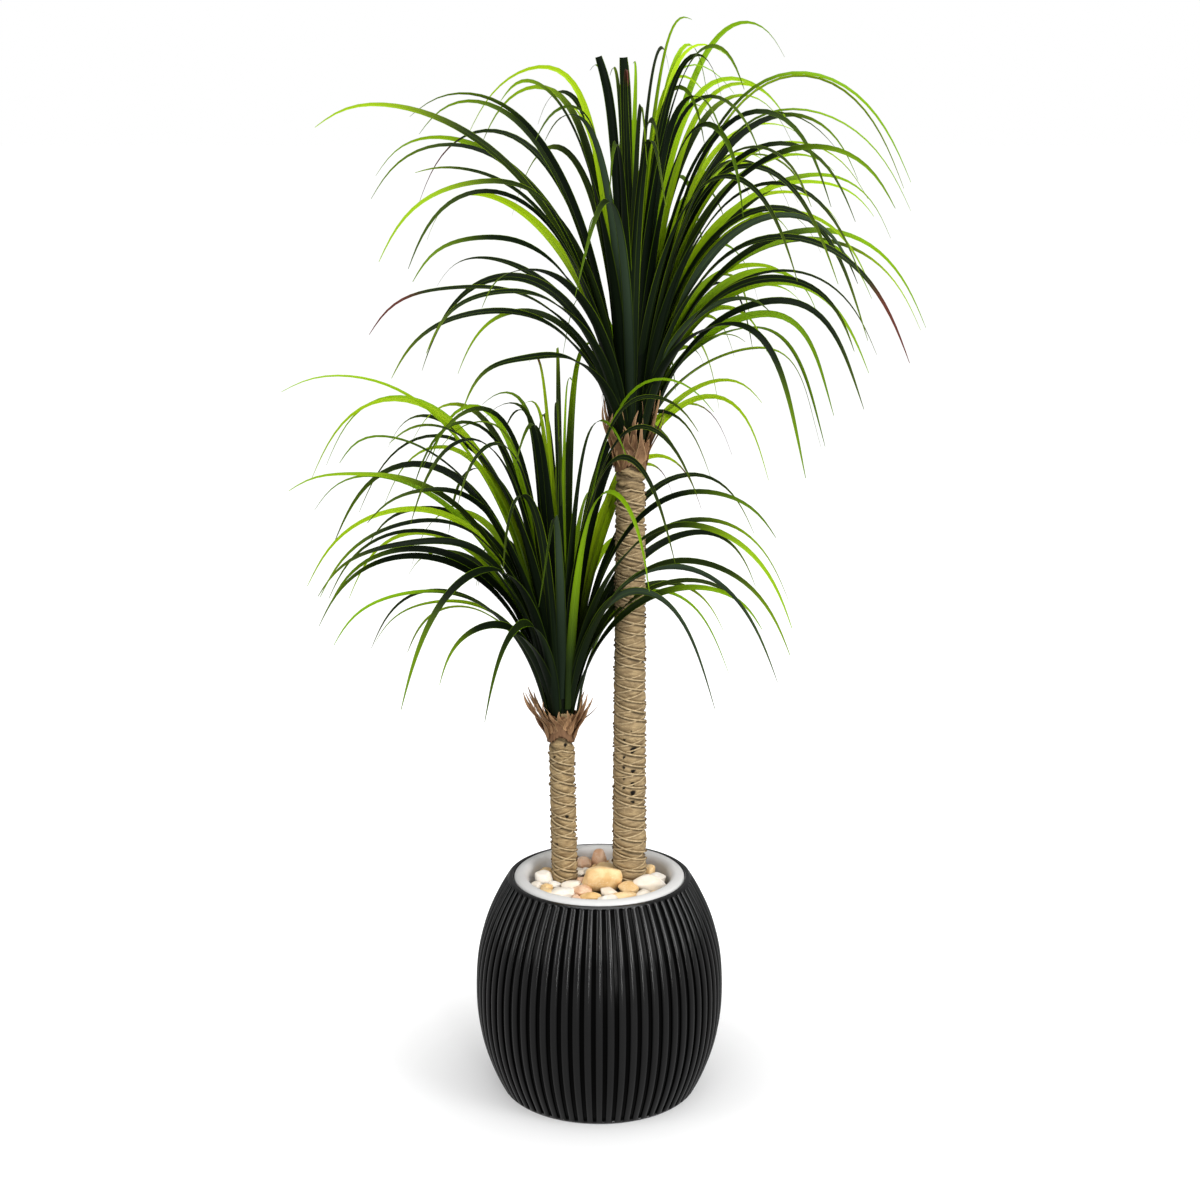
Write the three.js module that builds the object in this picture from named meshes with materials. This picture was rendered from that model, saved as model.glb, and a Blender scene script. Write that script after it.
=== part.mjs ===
// Two ponytail palms in one ribbed barrel planter.
// Millimetres, +Z up. The origin is the middle of the planter's underside, the front is -Y.
import * as THREE from 'three';

// ---- Driving dimensions ----------------------------------------------------

// Space left between two pieces that rest on or in each other.
const GAP = 0.3;

const POT = {
  height: 251.4,
  baseRadius: 110,
  bellyRadius: 140,
  bellyHeight: 119.5,
  rimRadius: 102,
  lowerCurve: 2.18, // exponent of the wall's curve below the belly
  upperCurve: 2.29, // exponent of the wall's curve above the belly
  mouthRadius: 97.8,
  wall: 4,
  floor: 6,
};

const RIBS = {
  count: 68,
  depth: 2.4,
  bottom: 3,
  top: 249.4,
};

// A tapered tub whose broad rolled rim covers the ring between it and the planter's mouth.
const LINER = {
  bottom: POT.floor + GAP,
  crest: 255.8, // top of the rolled rim
  crestRadius: 87.5,
  rimRadius: 96.9,
  rimEdge: 248.5, // lowest edge of the rim
  shoulder: 246, // height at which the wall runs into the rim
  shoulderRadius: 82.5, // outside, at the shoulder
  bottomRadius: 70,
  wall: 2,
};

const FILL = {
  bottom: LINER.bottom + LINER.wall + GAP,
  top: 234,
};

const TALL = {
  name: 'tall',
  x: 34,
  y: 20,
  lean: 0, // how far the top stands to +X of the foot
  footRadius: 17,
  topRadius: 13.4,
  top: 743,
  twineTop: 691,
  colour: 0x9a8460,
};

const SHORT = {
  name: 'short',
  x: -39,
  y: 17,
  lean: -4,
  footRadius: 12.6,
  topRadius: 12,
  top: 438,
  twineTop: 396,
  colour: 0x83703f,
};

const TWINE = {
  diameter: 1,
  pitch: 24, // of one pass; two passes climb, half a turn apart, and two come down
  passes: 4,
  stepsPerTurn: 10,
};

const COLLAR = {
  below: 31, // how far it reaches down the trunk from the trunk's top
  above: 27, // how far its points stand over the trunk's top
  notch: 20, // how deep it is cut between two points
  points: 12,
  flare: 15, // how far the points stand out from the trunk
  thickness: 1.2,
};

const CORE = {
  height: 50,
  radius: 13.5,
  shoulder: 28, // height of the straight part
};

const LEAF = {
  width: 11,
  rootWidth: 4.6,
  tipWidth: 1.2,
  channel: 0.22, // depth of the valley as a share of the width
  thickness: 0.9,
  steps: 10,
};

const LEAF_KINDS = {
  dark: 0x18240d,
  lime: 0x92b016,
  mixed: 0x567115,
  grey: 0x5a6e64,
};

const PEBBLE_KINDS = {
  yellow: 0xf0cc92,
  white: 0xf5f1ea,
  peach: 0xe4b48e,
};

// Height of the leaf roots over the trunk's top, and their distance from the axis, by tier.
const TIERS = {
  outer: { height: 9, reach: 14.6 },
  middle: { height: 19, reach: 14.6 },
  inner: { height: 33, reach: 13.2 },
};

// Every leaf rises from its root to an apex and falls to its tip in one upright plane.
// azimuth: degrees from +X towards +Y; apex and tip: [distance from the trunk's axis, height].
const TALL_LEAVES = [
  { azimuth: 50, apex: [195, 1191], tip: [275, 1150], tier: 'inner', kind: 'lime' },
  { azimuth: 80, apex: [215, 1165], tip: [275, 1135], tier: 'inner', kind: 'dark' },
  { azimuth: 290, apex: [205, 1155], tip: [290, 1110], tier: 'inner', kind: 'dark' },
  { azimuth: 343, apex: [170, 1135], tip: [295, 1020], tier: 'inner', kind: 'mixed' },
  { azimuth: 205, apex: [290, 1100], tip: [345, 1075], tier: 'inner', kind: 'mixed' },
  { azimuth: 155, apex: [85, 1143], tip: [195, 1065], tier: 'inner', kind: 'lime' },
  { azimuth: 246, apex: [255, 1122], tip: [305, 1100], tier: 'inner', kind: 'dark' },
  { azimuth: 113, apex: [190, 1115], tip: [270, 1075], tier: 'inner', kind: 'dark' },
  { azimuth: 319, apex: [235, 1060], tip: [330, 1000], tier: 'middle', kind: 'dark' },
  { azimuth: 56, apex: [225, 1045], tip: [305, 1015], tier: 'middle', kind: 'lime' },
  { azimuth: 131, apex: [275, 1000], tip: [365, 940], tier: 'middle', kind: 'lime' },
  { azimuth: 180, apex: [190, 1060], tip: [275, 1000], tier: 'middle', kind: 'dark' },
  { azimuth: 222, apex: [175, 1025], tip: [330, 950], tier: 'middle', kind: 'mixed' },
  { azimuth: 268, apex: [205, 1010], tip: [325, 925], tier: 'middle', kind: 'grey' },
  { azimuth: 4, apex: [200, 970], tip: [320, 862], tier: 'outer', kind: 'dark' },
  { azimuth: 307, apex: [180, 885], tip: [280, 740], tier: 'outer', kind: 'dark' },
  { azimuth: 30, apex: [160, 860], tip: [260, 715], tier: 'outer', kind: 'lime' },
  { azimuth: 90, apex: [250, 915], tip: [350, 830], tier: 'outer', kind: 'dark' },
  { azimuth: 148, apex: [150, 915], tip: [280, 800], tier: 'outer', kind: 'dark' },
  { azimuth: 236, apex: [225, 920], tip: [350, 870], tier: 'outer', kind: 'dark' },
];

const SHORT_LEAVES = [
  { azimuth: 198, apex: [240, 825], tip: [300, 808], tier: 'inner', kind: 'lime' },
  { azimuth: 166, apex: [185, 790], tip: [270, 705], tier: 'inner', kind: 'lime' },
  { azimuth: 92, apex: [105, 830], tip: [175, 815], tier: 'inner', kind: 'mixed' },
  { azimuth: 308, apex: [145, 810], tip: [230, 780], tier: 'inner', kind: 'dark' },
  { azimuth: 234, apex: [235, 790], tip: [275, 775], tier: 'inner', kind: 'dark' },
  { azimuth: 134, apex: [225, 750], tip: [300, 700], tier: 'middle', kind: 'dark' },
  { azimuth: 213, apex: [165, 675], tip: [290, 605], tier: 'middle', kind: 'dark' },
  { azimuth: 330, apex: [175, 705], tip: [260, 662], tier: 'middle', kind: 'dark' },
  { azimuth: 62, apex: [190, 690], tip: [285, 630], tier: 'middle', kind: 'lime' },
  { azimuth: 275, apex: [150, 690], tip: [260, 620], tier: 'middle', kind: 'grey' },
  { azimuth: 184, apex: [160, 620], tip: [265, 540], tier: 'outer', kind: 'dark' },
  { azimuth: 233, apex: [125, 626], tip: [262, 500], tier: 'outer', kind: 'dark' },
  { azimuth: 317, apex: [200, 640], tip: [320, 560], tier: 'outer', kind: 'mixed' },
  { azimuth: 38, apex: [190, 620], tip: [290, 540], tier: 'outer', kind: 'dark' },
  { azimuth: 112, apex: [190, 600], tip: [290, 520], tier: 'outer', kind: 'dark' },
];

// at: the middle of the stone over the fill; size: length, width and height; turn in degrees.
const PEBBLES = [
  { at: [4, -6], size: [44, 24, 28], turn: 4, kind: 'yellow' },
  { at: [-40, -31], size: [31, 21, 12], turn: 5, kind: 'white' },
  { at: [-20, 6], size: [13, 12, 12], turn: 0, kind: 'peach' },
  { at: [27, -42], size: [36, 15, 11], turn: 6, kind: 'yellow' },
  { at: [-63, 11], size: [20, 18, 17], turn: 20, kind: 'white' },
  { at: [-18, 58], size: [18, 18, 16], turn: 10, kind: 'peach' },
  { at: [0, 66], size: [18, 16, 22], turn: 0, kind: 'peach' },
  { at: [19, 58], size: [20, 15, 15], turn: 150, kind: 'white' },
  { at: [57, 36], size: [15, 20, 14], turn: 30, kind: 'yellow' },
  { at: [-8, 32], size: [20, 16, 12], turn: 10, kind: 'white' },
  { at: [56, -11], size: [36, 24, 19], turn: 172, kind: 'white' },
  { at: [-9, -43], size: [26, 17, 12], turn: 175, kind: 'yellow' },
  { at: [-59, -14], size: [15, 13, 11], turn: 40, kind: 'yellow' },
];

// ---- Small helpers ---------------------------------------------------------

const degrees = THREE.MathUtils.degToRad;
const lerp = THREE.MathUtils.lerp;
const smoothstep = THREE.MathUtils.smoothstep;

function point(x, y) {
  return new THREE.Vector2(x, y);
}

// Turns a profile of [radius, height] points round the Z axis.
function turned(profile, segments) {
  const points = profile.map(([radius, height]) => point(radius, height));
  const geometry = new THREE.LatheGeometry(points, segments);
  geometry.rotateX(Math.PI / 2);
  return geometry;
}

function eachVertex(geometry, change) {
  const position = geometry.attributes.position;
  const vertex = new THREE.Vector3();
  for (let i = 0; i < position.count; i += 1) {
    vertex.fromBufferAttribute(position, i);
    change(vertex, i);
    position.setXYZ(i, vertex.x, vertex.y, vertex.z);
  }
  geometry.computeVertexNormals();
  return geometry;
}

function matt(colour, roughness) {
  return new THREE.MeshStandardMaterial({ color: colour, roughness, metalness: 0 });
}

function piece(name, geometry, material) {
  const mesh = new THREE.Mesh(geometry, material);
  mesh.name = name;
  return mesh;
}

// ---- Planter ---------------------------------------------------------------

// Outside radius of the barrel at a height.
function potRadius(z) {
  const below = z < POT.bellyHeight;
  const span = below ? POT.bellyHeight : POT.height - POT.bellyHeight;
  const endRadius = below ? POT.baseRadius : POT.rimRadius;
  const curve = below ? POT.lowerCurve : POT.upperCurve;
  const away = Math.abs(z - POT.bellyHeight) / span;
  return endRadius + (POT.bellyRadius - endRadius) * (1 - away ** curve);
}

// The outside is drawn with two columns of vertices a rib: one on its crest, one in the groove.
function outerPot() {
  const ribHeights = [10, 45, 80, 115, 150, 185, 215, 233, 245.5];
  const outside = [
    [POT.baseRadius - 2, 0],
    [potRadius(RIBS.bottom), RIBS.bottom],
    ...ribHeights.map((z) => [potRadius(z), z]),
    [potRadius(RIBS.top), RIBS.top],
    [POT.rimRadius, POT.height - 0.8],
    [POT.rimRadius - 1, POT.height],
  ];
  const inside = [
    [POT.mouthRadius + 1, POT.height],
    [POT.mouthRadius, POT.height - 1],
    [POT.mouthRadius, 238],
    ...[190, 120, 50].map((z) => [potRadius(z) - POT.wall, z]),
    [POT.baseRadius - POT.wall, POT.floor],
  ];
  const profile = [[0, 0], ...outside, ...inside, [0, POT.floor]];
  const geometry = turned(profile, RIBS.count * 2);

  const firstRib = 3;
  const lastRib = firstRib + ribHeights.length - 1;
  return eachVertex(geometry, (vertex, i) => {
    const column = Math.floor(i / profile.length);
    const row = i % profile.length;
    if (column % 2 === 1 && row >= firstRib && row <= lastRib) {
      const radius = Math.hypot(vertex.x, vertex.y);
      const shrink = (radius - RIBS.depth) / radius;
      vertex.x *= shrink;
      vertex.y *= shrink;
    }
  });
}

// Outside radius of the liner under its rim.
function linerRadius(z) {
  const rise = (z - LINER.bottom) / (LINER.shoulder - LINER.bottom);
  return lerp(LINER.bottomRadius, LINER.shoulderRadius, rise);
}

function innerPot() {
  const { bottom, wall, crest, crestRadius, rimRadius, rimEdge, shoulder, shoulderRadius } = LINER;
  const floor = bottom + wall;
  return turned([
    [0, bottom],
    [LINER.bottomRadius - 2, bottom],
    [linerRadius(bottom + 2), bottom + 2],
    [shoulderRadius, shoulder],
    // The underside of the rim, from the wall out to its edge.
    [crestRadius - 3.2, crest - 5],
    [crestRadius - 1.9, crest - 3.2],
    [crestRadius + 0.3, crest - wall],
    [crestRadius + 3.5, crest - wall - 0.7],
    [rimRadius - 2.3, crest - 4.8],
    [rimRadius - wall, rimEdge],
    // Its edge, and back over the top.
    [rimRadius, rimEdge],
    [rimRadius, crest - 4.6],
    [rimRadius - 1.9, crest - 2.4],
    [crestRadius + 4, crest - 0.7],
    [crestRadius, crest],
    [crestRadius - 3.1, crest - 1],
    [crestRadius - 4.9, crest - 3.7],
    [shoulderRadius - wall, shoulder],
    [linerRadius(floor) - wall, floor],
    [0, floor],
  ], 48);
}

// A tapered plug that fills the liner, with a hole for the foot of each trunk.
function pottingFill() {
  const outline = new THREE.Shape();
  outline.absarc(0, 0, LINER.bottomRadius, 0, Math.PI * 2);
  for (const trunk of [TALL, SHORT]) {
    const hole = new THREE.Path();
    hole.absarc(trunk.x, trunk.y, trunk.footRadius + 0.6, 0, Math.PI * 2);
    outline.holes.push(hole);
  }
  const geometry = new THREE.ExtrudeGeometry(outline, {
    depth: FILL.top - FILL.bottom,
    bevelEnabled: false,
    curveSegments: 24,
  });
  geometry.translate(0, 0, FILL.bottom);
  return eachVertex(geometry, (vertex) => {
    const radius = Math.hypot(vertex.x, vertex.y);
    if (radius > LINER.bottomRadius - 0.5) {
      const fitted = linerRadius(vertex.z) - LINER.wall - GAP - 0.4;
      vertex.x *= fitted / radius;
      vertex.y *= fitted / radius;
    }
  });
}

// A stone: a rounded, slightly uneven pebble lying on the fill.
function pebble({ at, size, turn }) {
  const geometry = new THREE.IcosahedronGeometry(1, 1);
  geometry.scale(size[0] / 2, size[1] / 2, size[2] / 2);
  geometry.rotateZ(degrees(turn));
  geometry.translate(at[0], at[1], FILL.top + GAP + size[2] / 2);
  return geometry;
}

// ---- Trunks ----------------------------------------------------------------

// Share of the way from the fill's surface to the trunk's top.
function trunkRise(trunk, z) {
  return THREE.MathUtils.clamp((z - FILL.top) / (trunk.top - FILL.top), 0, 1);
}

function trunkRadius(trunk, z) {
  return lerp(trunk.footRadius, trunk.topRadius, trunkRise(trunk, z));
}

// Moves geometry built round the Z axis onto the trunk's axis.
function ontoTrunk(trunk, geometry) {
  return eachVertex(geometry, (vertex) => {
    vertex.x += trunk.x + trunk.lean * trunkRise(trunk, vertex.z);
    vertex.y += trunk.y;
  });
}

function trunkBody(trunk) {
  const foot = FILL.bottom;
  const rings = 6;
  const profile = [[0, foot], [trunk.footRadius - 1, foot], [trunk.footRadius, foot + 1]];
  for (let i = 0; i <= rings; i += 1) {
    const z = lerp(FILL.top, trunk.top - 2, i / rings);
    profile.push([trunkRadius(trunk, z), z]);
  }
  profile.push([trunk.topRadius - 2, trunk.top], [0, trunk.top]);
  return ontoTrunk(trunk, turned(profile, 20));
}

// One strand climbs the trunk as a helix, comes back down across itself a little further out,
// and does the same again half a turn round.
class TwineRoute extends THREE.Curve {
  constructor(trunk) {
    super();
    this.trunk = trunk;
    this.bottom = FILL.top + 3;
    this.top = trunk.twineTop;
    // A quarter turn over a whole number sets the second climb opposite the first.
    this.turns = Math.floor((this.top - this.bottom) / TWINE.pitch) + 0.25;
  }

  getPoint(t, target = new THREE.Vector3()) {
    const pass = Math.min(Math.floor(t * TWINE.passes), TWINE.passes - 1);
    const done = t * TWINE.passes - pass;
    const climbing = pass % 2 === 0;
    const z = lerp(this.bottom, this.top, climbing ? done : 1 - done);
    // Standing on a many-sided trunk, the straight steps of the strand cut its corners.
    const cornerCut = Math.cos(Math.PI / TWINE.stepsPerTurn);
    const lower = (trunkRadius(this.trunk, z) + GAP + TWINE.diameter / 2) / cornerCut + 0.2;
    const upper = (lower + TWINE.diameter + GAP) / cornerCut;
    const turning = smoothstep(done, 1 - 0.2 / this.turns, 1);
    const radius = climbing ? lerp(lower, upper, turning) : lerp(upper, lower, turning);
    const angle = 2 * Math.PI * this.turns * TWINE.passes * t;
    return target.set(radius * Math.cos(angle), radius * Math.sin(angle), z);
  }
}

function twine(trunk) {
  const route = new TwineRoute(trunk);
  route.arcLengthDivisions = 4000;
  const section = new THREE.Shape();
  const half = TWINE.diameter / 2;
  section.moveTo(half, 0);
  section.lineTo(-half / 2, half * 0.87);
  section.lineTo(-half / 2, -half * 0.87);
  section.closePath();
  const geometry = new THREE.ExtrudeGeometry(section, {
    steps: Math.round(route.turns * TWINE.passes * TWINE.stepsPerTurn),
    extrudePath: route,
  });
  return ontoTrunk(trunk, geometry);
}

// A flared cuff cut into points, round the top of the trunk.
function collar(trunk) {
  const { below, above, notch, points, flare, thickness } = COLLAR;
  const inner = trunkRadius(trunk, trunk.top - below) / Math.cos(Math.PI / 24) + GAP;
  const bottom = trunk.top - below;
  const tip = trunk.top + above;
  const waist = trunk.top - 8;
  const profile = [
    [inner, bottom],
    [inner + thickness, bottom],
    [inner + thickness + 3, waist],
    [inner + thickness + flare, tip],
    [inner + flare, tip],
    [inner + 3, waist],
    [inner, bottom],
  ];
  const geometry = turned(profile, points * 2);
  const tipRows = [3, 4];
  eachVertex(geometry, (vertex, i) => {
    const column = Math.floor(i / profile.length);
    if (column % 2 === 1 && tipRows.includes(i % profile.length)) {
      const radius = Math.hypot(vertex.x, vertex.y);
      const narrowed = radius - flare * 0.55;
      vertex.x *= narrowed / radius;
      vertex.y *= narrowed / radius;
      vertex.z -= notch;
    }
  });
  return ontoTrunk(trunk, geometry);
}

// The knob on the trunk's top in which the leaves root.
function crownCore(trunk) {
  const bottom = trunk.top + GAP;
  const { height, radius, shoulder } = CORE;
  return ontoTrunk(trunk, turned([
    [0, bottom],
    [trunk.topRadius - 2, bottom],
    [radius, bottom + 2],
    [radius, bottom + shoulder],
    [radius * 0.75, bottom + shoulder + 9],
    [radius * 0.35, bottom + height - 4],
    [0, bottom + height],
  ], 24));
}

// ---- Leaves ----------------------------------------------------------------

// The leaf's middle line, as distances from the trunk's axis and heights.
function leafLine(trunk, leaf) {
  const tier = TIERS[leaf.tier];
  const root = point(tier.reach, trunk.top + tier.height);
  const apex = point(...leaf.apex);
  const tip = point(...leaf.tip);
  const rise = new THREE.CubicBezierCurve(
    root,
    point(lerp(root.x, apex.x, 0.1), lerp(root.y, apex.y, 0.57)),
    point(lerp(root.x, apex.x, 0.5), apex.y),
    apex,
  );
  const drop = apex.distanceTo(tip);
  const fall = new THREE.CubicBezierCurve(
    apex,
    point(apex.x + 0.45 * (tip.x - apex.x) + 0.1 * drop, apex.y),
    point(tip.x - 0.12 * drop, tip.y + 0.33 * drop),
    tip,
  );
  const line = new THREE.CurvePath();
  line.add(rise);
  line.add(fall);
  return line;
}

function leafWidth(along) {
  const opened = lerp(LEAF.rootWidth, LEAF.width, smoothstep(along, 0, 0.22));
  const left = 1 - Math.max(0, (along - 0.45) / 0.55) ** 1.6;
  return lerp(LEAF.tipWidth, opened, left);
}

// A strap with a shallow V section: sharp edges, a valley above and a keel below.
function leafBlade(trunk, leaf) {
  const line = leafLine(trunk, leaf);
  const axisX = trunk.x + trunk.lean;
  const azimuth = degrees(leaf.azimuth);
  const outward = new THREE.Vector3(Math.cos(azimuth), Math.sin(azimuth), 0);
  const sideways = new THREE.Vector3(Math.sin(azimuth), -Math.cos(azimuth), 0);
  // Four columns: an edge, the valley, the other edge and the keel.
  const geometry = new THREE.CylinderGeometry(1, 1, 1, 4, LEAF.steps);
  return eachVertex(geometry, (vertex) => {
    const along = vertex.y + 0.5;
    const half = leafWidth(along) / 2;
    const inwards = 1 - Math.abs(vertex.x);
    const across = vertex.x * half;
    const taper = lerp(1, 0.6, along);
    const lift = inwards * (-LEAF.channel * 2 * half + (vertex.z - 1) * LEAF.thickness * 0.5 * taper);
    const centre = line.getPointAt(along);
    const tangent = line.getTangentAt(along);
    const reach = centre.x - lift * tangent.y;
    vertex.set(axisX, trunk.y, centre.y + lift * tangent.x);
    vertex.addScaledVector(outward, reach);
    vertex.addScaledVector(sideways, across);
  });
}

// ---- The assembly ----------------------------------------------------------

function plant(trunk, leaves) {
  const group = new THREE.Group();
  const { name } = trunk;
  group.add(
    piece(`${name}_trunk`, trunkBody(trunk), matt(trunk.colour, 0.9)),
    piece(`${name}_trunk_twine`, twine(trunk), matt(0xd6c6a2, 0.95)),
    piece(`${name}_husk_collar`, collar(trunk), matt(0x6e5030, 0.9)),
    piece(`${name}_crown_core`, crownCore(trunk), matt(0x2b3a16, 0.8)),
  );
  leaves.forEach((leaf, i) => {
    const number = String(i + 1).padStart(2, '0');
    const material = matt(LEAF_KINDS[leaf.kind], 0.5);
    group.add(piece(`${name}_leaf_${number}`, leafBlade(trunk, leaf), material));
  });
  return group;
}

const palm = new THREE.Group();
palm.name = 'potted_ponytail_palm';
palm.add(
  piece('outer_pot', outerPot(), matt(0x1d1d1d, 0.55)),
  piece('inner_pot', innerPot(), matt(0xf0efea, 0.35)),
  piece('potting_fill', pottingFill(), matt(0x8c8478, 0.95)),
);
PEBBLES.forEach((stone, i) => {
  const number = String(i + 1).padStart(2, '0');
  palm.add(piece(`pebble_${number}`, pebble(stone), matt(PEBBLE_KINDS[stone.kind], 0.6)));
});
palm.add(plant(TALL, TALL_LEAVES), plant(SHORT, SHORT_LEAVES));

export default palm;
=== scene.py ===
"""The looks of a twin-stem ponytail palm in a ribbed barrel planter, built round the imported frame.

Metres, +Z up. The origin is the middle of the planter's underside, the front is -Y.
"""

import functools
import math
import random

import bpy
import numpy as np
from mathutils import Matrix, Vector, noise


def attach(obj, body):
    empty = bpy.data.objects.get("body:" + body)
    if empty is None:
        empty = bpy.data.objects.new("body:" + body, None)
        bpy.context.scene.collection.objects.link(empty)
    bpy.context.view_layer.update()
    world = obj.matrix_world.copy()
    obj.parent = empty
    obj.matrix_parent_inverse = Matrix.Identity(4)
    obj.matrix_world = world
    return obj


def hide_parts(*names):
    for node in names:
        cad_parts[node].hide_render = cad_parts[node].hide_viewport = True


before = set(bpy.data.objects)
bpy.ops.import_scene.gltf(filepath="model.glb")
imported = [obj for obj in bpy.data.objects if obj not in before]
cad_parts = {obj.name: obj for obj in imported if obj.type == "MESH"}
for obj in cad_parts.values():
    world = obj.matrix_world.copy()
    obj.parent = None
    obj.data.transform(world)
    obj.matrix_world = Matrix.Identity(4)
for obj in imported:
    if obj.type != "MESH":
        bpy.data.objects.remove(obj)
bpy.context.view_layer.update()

# ---- Driving dimensions ------------------------------------------------------

POT_HEIGHT = 0.2518
POT_BASE_RADIUS = 0.110
POT_BELLY_RADIUS = 0.140
POT_BELLY_HEIGHT = 0.1195
POT_RIM_RADIUS = 0.102
POT_MOUTH_RADIUS = 0.0968
POT_LOWER_CURVE = 2.18
POT_UPPER_CURVE = 2.29
POT_WALL = 0.004
POT_FLOOR = 0.006

RIB_COUNT = 68
RIB_DEPTH = 0.0031
RIB_BOTTOM = 0.003
RIB_TOP = 0.2502

LINER_BOTTOM = 0.0063
LINER_CREST = 0.2551
LINER_CREST_RADIUS = 0.0870
LINER_RIM_RADIUS = 0.0959
LINER_RIM_EDGE = 0.2485
LINER_SHOULDER = 0.246
LINER_SHOULDER_RADIUS = 0.0825
LINER_BOTTOM_RADIUS = 0.070
LINER_WALL = 0.002

FILL_BOTTOM = 0.009
FILL_TOP = 0.234
FILL_EDGE = 0.0792

TALL = {
    "name": "tall",
    "x": 0.034,
    "y": 0.020,
    "lean": 0.0,
    "foot_radius": 0.0182,
    "top_radius": 0.0146,
    "top": 0.743,
    "twine_top": 0.691,
    "folds": (0.660, 0.714),
    "seed": 11,
    # The wrap's colours, shaded and lit.
    "wrap": ((0.262, 0.182, 0.092), (0.485, 0.352, 0.184)),
    # Rows of gaps in the wrap: direction in degrees, size, heights.
    "gaps": [
        (-78, 0.0028, (0.336, 0.346, 0.357, 0.372, 0.396)),
        (-113, 0.0018, (0.352, 0.364, 0.376, 0.388, 0.408)),
    ],
}
SHORT = {
    "name": "short",
    "x": -0.039,
    "y": 0.017,
    "lean": -0.004,
    "foot_radius": 0.0136,
    "top_radius": 0.0130,
    "top": 0.438,
    "twine_top": 0.396,
    "folds": (0.383, 0.397),
    "seed": 23,
    "wrap": ((0.252, 0.171, 0.082), (0.520, 0.376, 0.192)),
    "gaps": [(-70, 0.0018, (0.318, 0.402)), (-125, 0.0014, (0.285, 0.388))],
}

TWINE_RADIUS = 0.00105
TWINE_PITCH = 0.024
TWINE_PASSES = 4
TWINE_SIDES = 7
# Smallest and largest half axes of a knot, in radii of the twine.
KNOT_SIZES = ((1.5, 2.1), (1.5, 2.2), (1.2, 1.7))

# The wrap that is modelled finely: how far it goes below the fill's top and above the twine,
# the height of a row of points, and the height of one fold.
WRAP_BELOW = 0.010
WRAP_ABOVE = 0.022
WRAP_ROW = 0.00095
FOLD_HEIGHT = 0.0047

# The husk's cuff, from its foot to its upper edge and back: distance from the trunk and height.
COLLAR_BELOW = 0.031
CUFF_HEIGHT = 0.030
CUFF = (
    (0.0, 0.0),
    (0.0012, 0.0),
    (0.0016, 0.010),
    (0.0026, 0.020),
    (0.0040, CUFF_HEIGHT),
    (0.0030, CUFF_HEIGHT),
    (0.0, 0.014),
)
# The crown's core: radius, and height over the trunk's top.
CORE = (
    (0.0105, 0.0003),
    (0.0135, 0.0023),
    (0.0135, 0.0283),
    (0.0101, 0.0373),
    (0.0047, 0.0463),
    (0.001, 0.050),
)
# The turn in degrees from one leaf or strip to the next.
GOLDEN_ANGLE = 137.508

# Height of the leaf roots over the trunk's top, and their distance from the axis, by tier.
TIERS = {
    "outer": (0.009, 0.0146),
    "middle": (0.019, 0.0146),
    "inner": (0.033, 0.0132),
}

# Leaves that stand for the frame's own leaves, in the frame's order:
# azimuth from +X in degrees, apex and tip as (distance from the axis, height), tier, kind.
TALL_LEAVES = [
    (50, (0.195, 1.191), (0.275, 1.150), "inner", "lime"),
    (80, (0.215, 1.165), (0.275, 1.135), "inner", "dark"),
    (290, (0.205, 1.155), (0.290, 1.110), "inner", "dark"),
    (343, (0.170, 1.135), (0.295, 1.020), "inner", "tipped"),
    (205, (0.290, 1.100), (0.345, 1.075), "inner", "tipped"),
    (155, (0.085, 1.143), (0.195, 1.065), "inner", "lime"),
    (246, (0.255, 1.122), (0.305, 1.100), "inner", "dark"),
    (113, (0.190, 1.115), (0.270, 1.075), "inner", "dark"),
    (319, (0.235, 1.060), (0.330, 1.000), "middle", "dark"),
    (56, (0.225, 1.045), (0.305, 1.015), "middle", "lime"),
    (131, (0.275, 1.000), (0.365, 0.940), "middle", "lime"),
    (180, (0.190, 1.060), (0.275, 1.000), "middle", "dark"),
    (222, (0.175, 1.025), (0.330, 0.950), "middle", "tipped"),
    (268, (0.205, 1.010), (0.325, 0.925), "middle", "grey"),
    (4, (0.200, 0.970), (0.320, 0.862), "outer", "tipped"),
    (307, (0.180, 0.885), (0.280, 0.740), "outer", "dark"),
    (30, (0.160, 0.860), (0.260, 0.715), "outer", "lime"),
    (90, (0.250, 0.915), (0.350, 0.830), "outer", "dark"),
    (148, (0.150, 0.915), (0.280, 0.800), "outer", "dark"),
    (236, (0.225, 0.920), (0.350, 0.870), "outer", "dark"),
]
SHORT_LEAVES = [
    (198, (0.240, 0.825), (0.300, 0.808), "inner", "lime"),
    (166, (0.185, 0.790), (0.270, 0.705), "inner", "lime"),
    (92, (0.105, 0.830), (0.175, 0.815), "inner", "tipped"),
    (308, (0.145, 0.810), (0.230, 0.780), "inner", "dark"),
    (234, (0.235, 0.790), (0.275, 0.775), "inner", "dark"),
    (134, (0.225, 0.750), (0.300, 0.700), "middle", "dark"),
    (213, (0.165, 0.675), (0.290, 0.605), "middle", "dark"),
    (330, (0.175, 0.705), (0.260, 0.662), "middle", "dark"),
    (62, (0.190, 0.690), (0.285, 0.630), "middle", "lime"),
    (275, (0.150, 0.690), (0.260, 0.620), "middle", "grey"),
    (184, (0.160, 0.620), (0.265, 0.540), "outer", "dark"),
    (233, (0.125, 0.626), (0.262, 0.500), "outer", "dark"),
    (317, (0.200, 0.640), (0.320, 0.560), "outer", "tipped"),
    (38, (0.190, 0.620), (0.290, 0.540), "outer", "dark"),
    (112, (0.190, 0.600), (0.290, 0.520), "outer", "dark"),
]

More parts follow.
